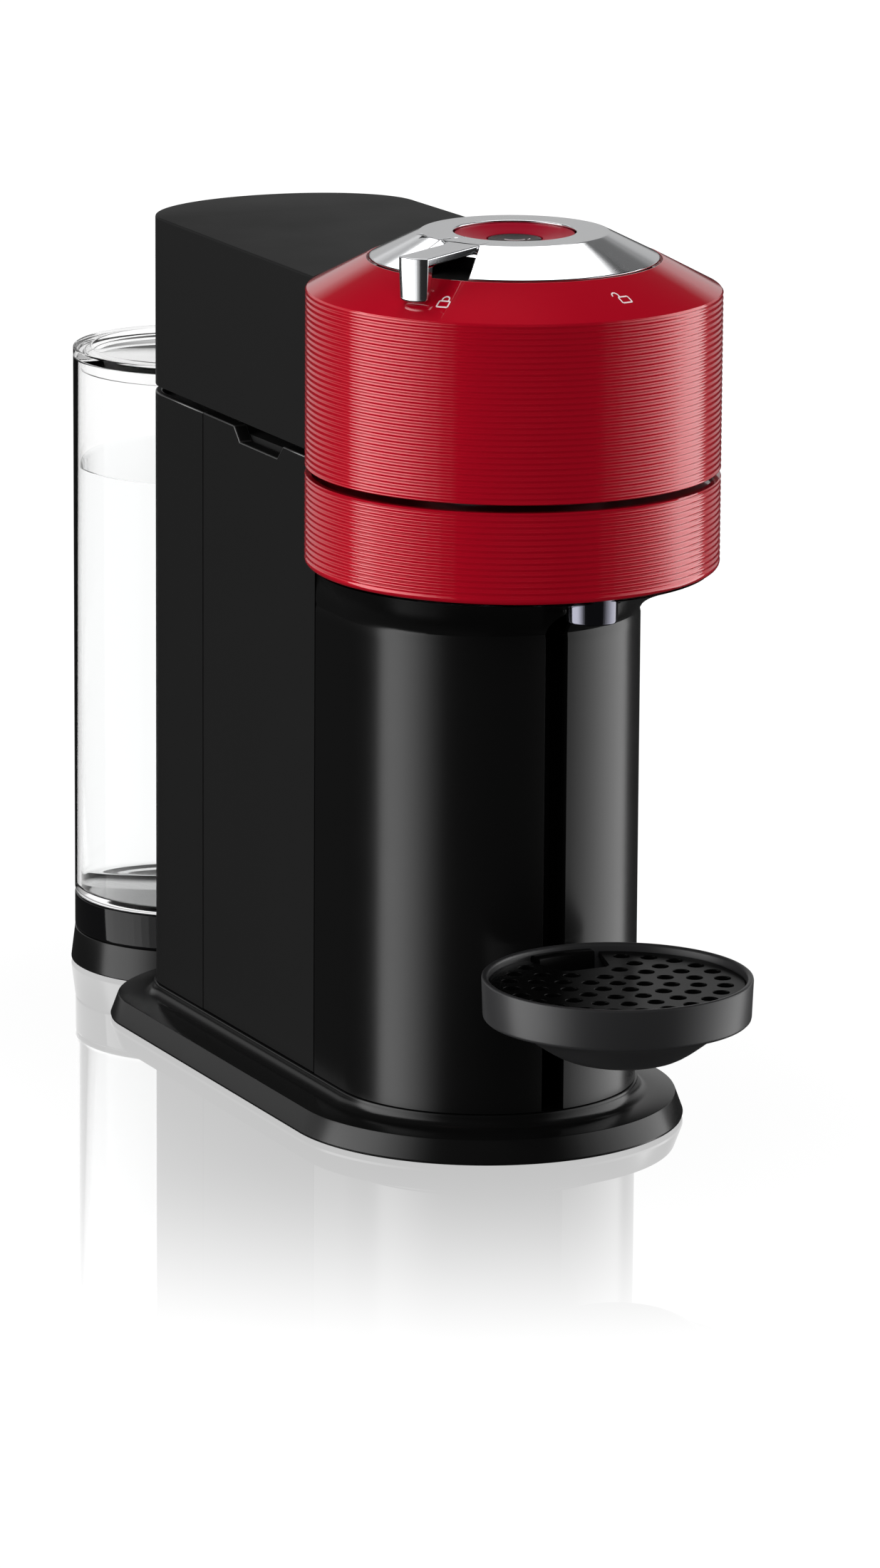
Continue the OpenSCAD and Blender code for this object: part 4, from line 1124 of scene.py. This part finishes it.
# %% Camera
CAMERA_TURN = math.radians(-26.81)      # left of the front
CAMERA_TILT = math.radians(13.42)       # above the horizon
CAMERA_FAR = 2899.2                     # mm from the point it aims at
CAMERA_ASIDE = -24.1                    # the aim lies this far to the camera's right of the head's axis
CAMERA_AIM = 122.2                      # height of the aim
CAMERA_ROLL = math.radians(0.37)
back = Vector((math.sin(CAMERA_TURN) * math.cos(CAMERA_TILT),
               -math.cos(CAMERA_TURN) * math.cos(CAMERA_TILT), math.sin(CAMERA_TILT)))
right = Vector((math.cos(CAMERA_TURN), math.sin(CAMERA_TURN), 0))
aim = Vector((0, AXIS_Y, CAMERA_AIM)) + right * CAMERA_ASIDE
lens = bpy.data.cameras.new("camera")
lens.lens = 193.6
lens.sensor_width = 36
lens.clip_end = 50
camera = bpy.data.objects.new("camera", lens)
bpy.context.scene.collection.objects.link(camera)
axes = Matrix((right, back.cross(right), back)).transposed().to_4x4()
place = Matrix.Translation((aim + back * CAMERA_FAR) * MM)
camera.matrix_world = place @ axes @ Matrix.Rotation(CAMERA_ROLL, 4, "Z")
bpy.context.scene.camera = camera
print("camera at", [round(v, 3) for v in camera.location])

# %% [markdown]
# ## Light
# Two tall softboxes stand left and right of the machine. Between them the studio is dark, and that is what
# gives the black body its form: each round surface shows one bright band per softbox and stays black
# between. Each softbox is built of strips whose power falls towards the camera, so that the bands end
# hard at the outer side and fade at the inner one. Light linking aims the rest, as flags do in a studio:
# the two outermost strips on the left skip the column, and five strips above and behind light only the
# chrome. Two fills light the front and the top evenly, and no shiny surface mirrors them.

# %% Softboxes
LIGHT_FAR = 1.5         # metres from the machine
STRIPS = 8              # strips in one softbox
TOP_STRIPS = ((153, 72, 1.0, 2.6), (155, 57, 1.0, 2.4), (163, 43, 0.8, 1.7), (172, 31, 0.6, 0.4),
              (130, 36, 0.5, 0.15))     # turn, rise, width and glow


def strip(name, turn, rise, width, height, glow, far=LIGHT_FAR, centre_z=0.1):
    """One strip light, aimed at the machine; turn is from the front, positive to the right."""
    lamp = bpy.data.lights.new(name, "AREA")
    lamp.shape = "RECTANGLE"
    lamp.size, lamp.size_y = width, height
    lamp.energy = glow * width * height * math.pi
    holder = bpy.data.objects.new(name, lamp)
    bpy.context.scene.collection.objects.link(holder)
    turn, rise = math.radians(turn), math.radians(rise)
    toward = Vector((math.sin(turn) * math.cos(rise), -math.cos(turn) * math.cos(rise), math.sin(rise)))
    holder.location = Vector((0, AXIS_Y * MM, centre_z)) + toward * far
    holder.rotation_euler = toward.to_track_quat("Z", "Y").to_euler()
    return holder


def softbox(name, start, end, height, glow_of):
    """A bank of upright strips between two directions; glow_of(0..1) gives the glow along it."""
    step = (end - start) / STRIPS
    width = 2 * LIGHT_FAR * math.tan(math.radians(abs(step)) / 2) * 1.01    # a slight overlap
    return [strip(f"{name}_{k}", start + step * (k + 0.5), 0, width, height, glow_of((k + 0.5) / STRIPS))
            for k in range(STRIPS)]


left = softbox("left_softbox", -127, -60, 2.0, lambda t: 3.1 * min(1.0, 2.0 * (1 - t)))
softbox("right_softbox", 102, 24, 2.0, lambda t: 2.4 * min(1.0, 1.6 * (1 - t)))
flagged = bpy.data.collections.new("not_on_the_column")
flagged.objects.link(column)
flagged.collection_objects[0].light_linking.link_state = "EXCLUDE"
for lamp in left[:2]:
    lamp.light_linking.receiver_collection = flagged
chrome_only = bpy.data.collections.new("chrome_only")
chrome_only.objects.link(lever)
for k, (turn, rise, width, glow) in enumerate(TOP_STRIPS):
    top = strip(f"top_softbox_{k}", turn, rise, width, 0.42, glow)
    top.light_linking.receiver_collection = chrome_only
for name, turn, rise, glow in (("front_fill", -20, 35, 3.0), ("overhead_fill", 180, 75, 6.0)):
    fill = strip(name, turn, rise, 0.9, 0.9, glow, 1.8)
    fill.visible_glossy = False

# %% [markdown]
# ## Table and surroundings
# The machine stands on a lit white acrylic table that mirrors its foot, and the mirror image fades with
# the distance from the body. The table's own glow makes up for what the mirror doesn't give, so that the
# floor is the same white from all sides. The studio behind is white to the eye, but the shiny parts see a
# dark room with one pale wall behind the machine. The table is the only perfectly sharp mirror, so its
# rays can be told from the others, and to them the whole room has the pale wall's glow.

# %% Table
PALE_WALL = 0.64        # glow of the wall behind, as mirrored
TABLE_MIRROR = 0.86     # share of the mirror image at the foot
TABLE_GLOW = 1.09       # glow of the table where it mirrors nothing
FADE_END = 0.34         # metres from the body's middle line to where the mirror image ends
table_mesh = bpy.data.meshes.new("table")
table_mesh.from_pydata([(-30, -30, 0), (30, -30, 0), (30, 30, 0), (-30, 30, 0)], [], [(0, 1, 2, 3)])
table = bpy.data.objects.new("table", table_mesh)
bpy.context.scene.collection.objects.link(table)
acrylic = bpy.data.materials.new("lit_white_acrylic")
acrylic.use_nodes = True
tree = acrylic.node_tree
tree.nodes.clear()
place = add(tree, "ShaderNodeTexCoord")
split = add(tree, "ShaderNodeSeparateXYZ", {0: place.outputs["Object"]})
front_y, back_y = (COLUMN_Y + AXIS_Y) * MM, (REAR_Y + AXIS_Y) * MM
along = add(tree, "ShaderNodeClamp", {"Value": split.outputs["Y"], "Min": front_y, "Max": back_y})
nearest = add(tree, "ShaderNodeCombineXYZ", {"Y": along.outputs[0]})
gap = add(tree, "ShaderNodeVectorMath", {0: place.outputs["Object"], 1: nearest.outputs[0]},
          operation="DISTANCE")
fade = add(tree, "ShaderNodeMapRange",
           {"Value": gap.outputs["Value"], 1: BODY_R * MM, 2: FADE_END, 3: 1.0, 4: 0.0},
           interpolation_type="SMOOTHSTEP")
share = add(tree, "ShaderNodeMath", {0: fade.outputs[0], 1: TABLE_MIRROR}, operation="MULTIPLY")
lit = add(tree, "ShaderNodeMath", {0: share.outputs[0], 1: -PALE_WALL, 2: TABLE_GLOW},
          operation="MULTIPLY_ADD")
glow = add(tree, "ShaderNodeEmission", {"Strength": lit.outputs[0]})
mirror = add(tree, "ShaderNodeBsdfGlossy", {"Color": share.outputs[0], "Roughness": 0.0})
both = add(tree, "ShaderNodeAddShader", {0: glow.outputs[0], 1: mirror.outputs[0]})
add(tree, "ShaderNodeOutputMaterial", {"Surface": both.outputs[0]})
table_mesh.materials.append(acrylic)
table.visible_glossy = False
table.visible_diffuse = False
table.visible_shadow = False
table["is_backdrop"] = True

# %% Surroundings
DARK_ROOM = 0.03        # glow of the rest of the room, as mirrored
SOFT_LIGHT = 0.12       # more light from all sides on matt surfaces
world = bpy.data.worlds.new("studio")
bpy.context.scene.world = world
world.use_nodes = True
tree = world.node_tree
tree.nodes.clear()
rays = add(tree, "ShaderNodeLightPath")
straight = add(tree, "ShaderNodeMath", {0: rays.outputs["Glossy Depth"], 1: 0.5}, operation="LESS_THAN")
through = add(tree, "ShaderNodeMath", {0: rays.outputs["Is Transmission Ray"], 1: straight.outputs[0]},
              operation="MULTIPLY")
seen = add(tree, "ShaderNodeMath", {0: rays.outputs["Is Camera Ray"], 1: through.outputs[0]},
           operation="MAXIMUM")
heading = add(tree, "ShaderNodeTexCoord")
split = add(tree, "ShaderNodeSeparateXYZ", {0: heading.outputs["Generated"]})
rise = add(tree, "ShaderNodeMapRange", {"Value": split.outputs["Z"], 1: -0.02, 2: 0.05, 3: 0.0, 4: 1.0})
rear = add(tree, "ShaderNodeMapRange", {"Value": split.outputs["Y"], 1: 0.1, 2: 0.5, 3: 0.0, 4: 1.0})
below_top = add(tree, "ShaderNodeMapRange", {"Value": split.outputs["Z"], 1: 0.27, 2: 0.42, 3: 1.0, 4: 0.0})
in_height = add(tree, "ShaderNodeMath", {0: rise.outputs[0], 1: below_top.outputs[0]}, operation="MULTIPLY")
in_wall = add(tree, "ShaderNodeMath", {0: in_height.outputs[0], 1: rear.outputs[0]}, operation="MULTIPLY")
wall_glow = add(tree, "ShaderNodeMath", {0: in_wall.outputs[0], 1: PALE_WALL, 2: DARK_ROOM},
                operation="MULTIPLY_ADD")
soft = add(tree, "ShaderNodeMath", {0: rays.outputs["Is Diffuse Ray"], 1: SOFT_LIGHT}, operation="MULTIPLY")
open_room = add(tree, "ShaderNodeMath", {0: wall_glow.outputs[0], 1: soft.outputs[0]}, operation="ADD")
by_mirror = add(tree, "ShaderNodeMath", {0: rays.outputs["Is Singular Ray"], 1: rays.outputs["Is Glossy Ray"]},
                operation="MULTIPLY")
room = add(tree, "ShaderNodeMix", {0: by_mirror.outputs[0], 2: open_room.outputs[0], 3: PALE_WALL},
           data_type="FLOAT")
strength = add(tree, "ShaderNodeMix", {0: seen.outputs[0], 2: room.outputs[0], 3: 1.0}, data_type="FLOAT")
sky = add(tree, "ShaderNodeBackground", {"Strength": strength.outputs[0]})
add(tree, "ShaderNodeOutputWorld", {"Surface": sky.outputs[0]})
bpy.context.scene.view_settings.view_transform = "Standard"
print("table and surroundings ready")

# %% Measure the sizes and finish
visual_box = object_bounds()
sizes = {"cad": [list(corner) for corner in cad_box], "visual": [list(corner) for corner in visual_box]}
print("visual box", sizes["visual"])
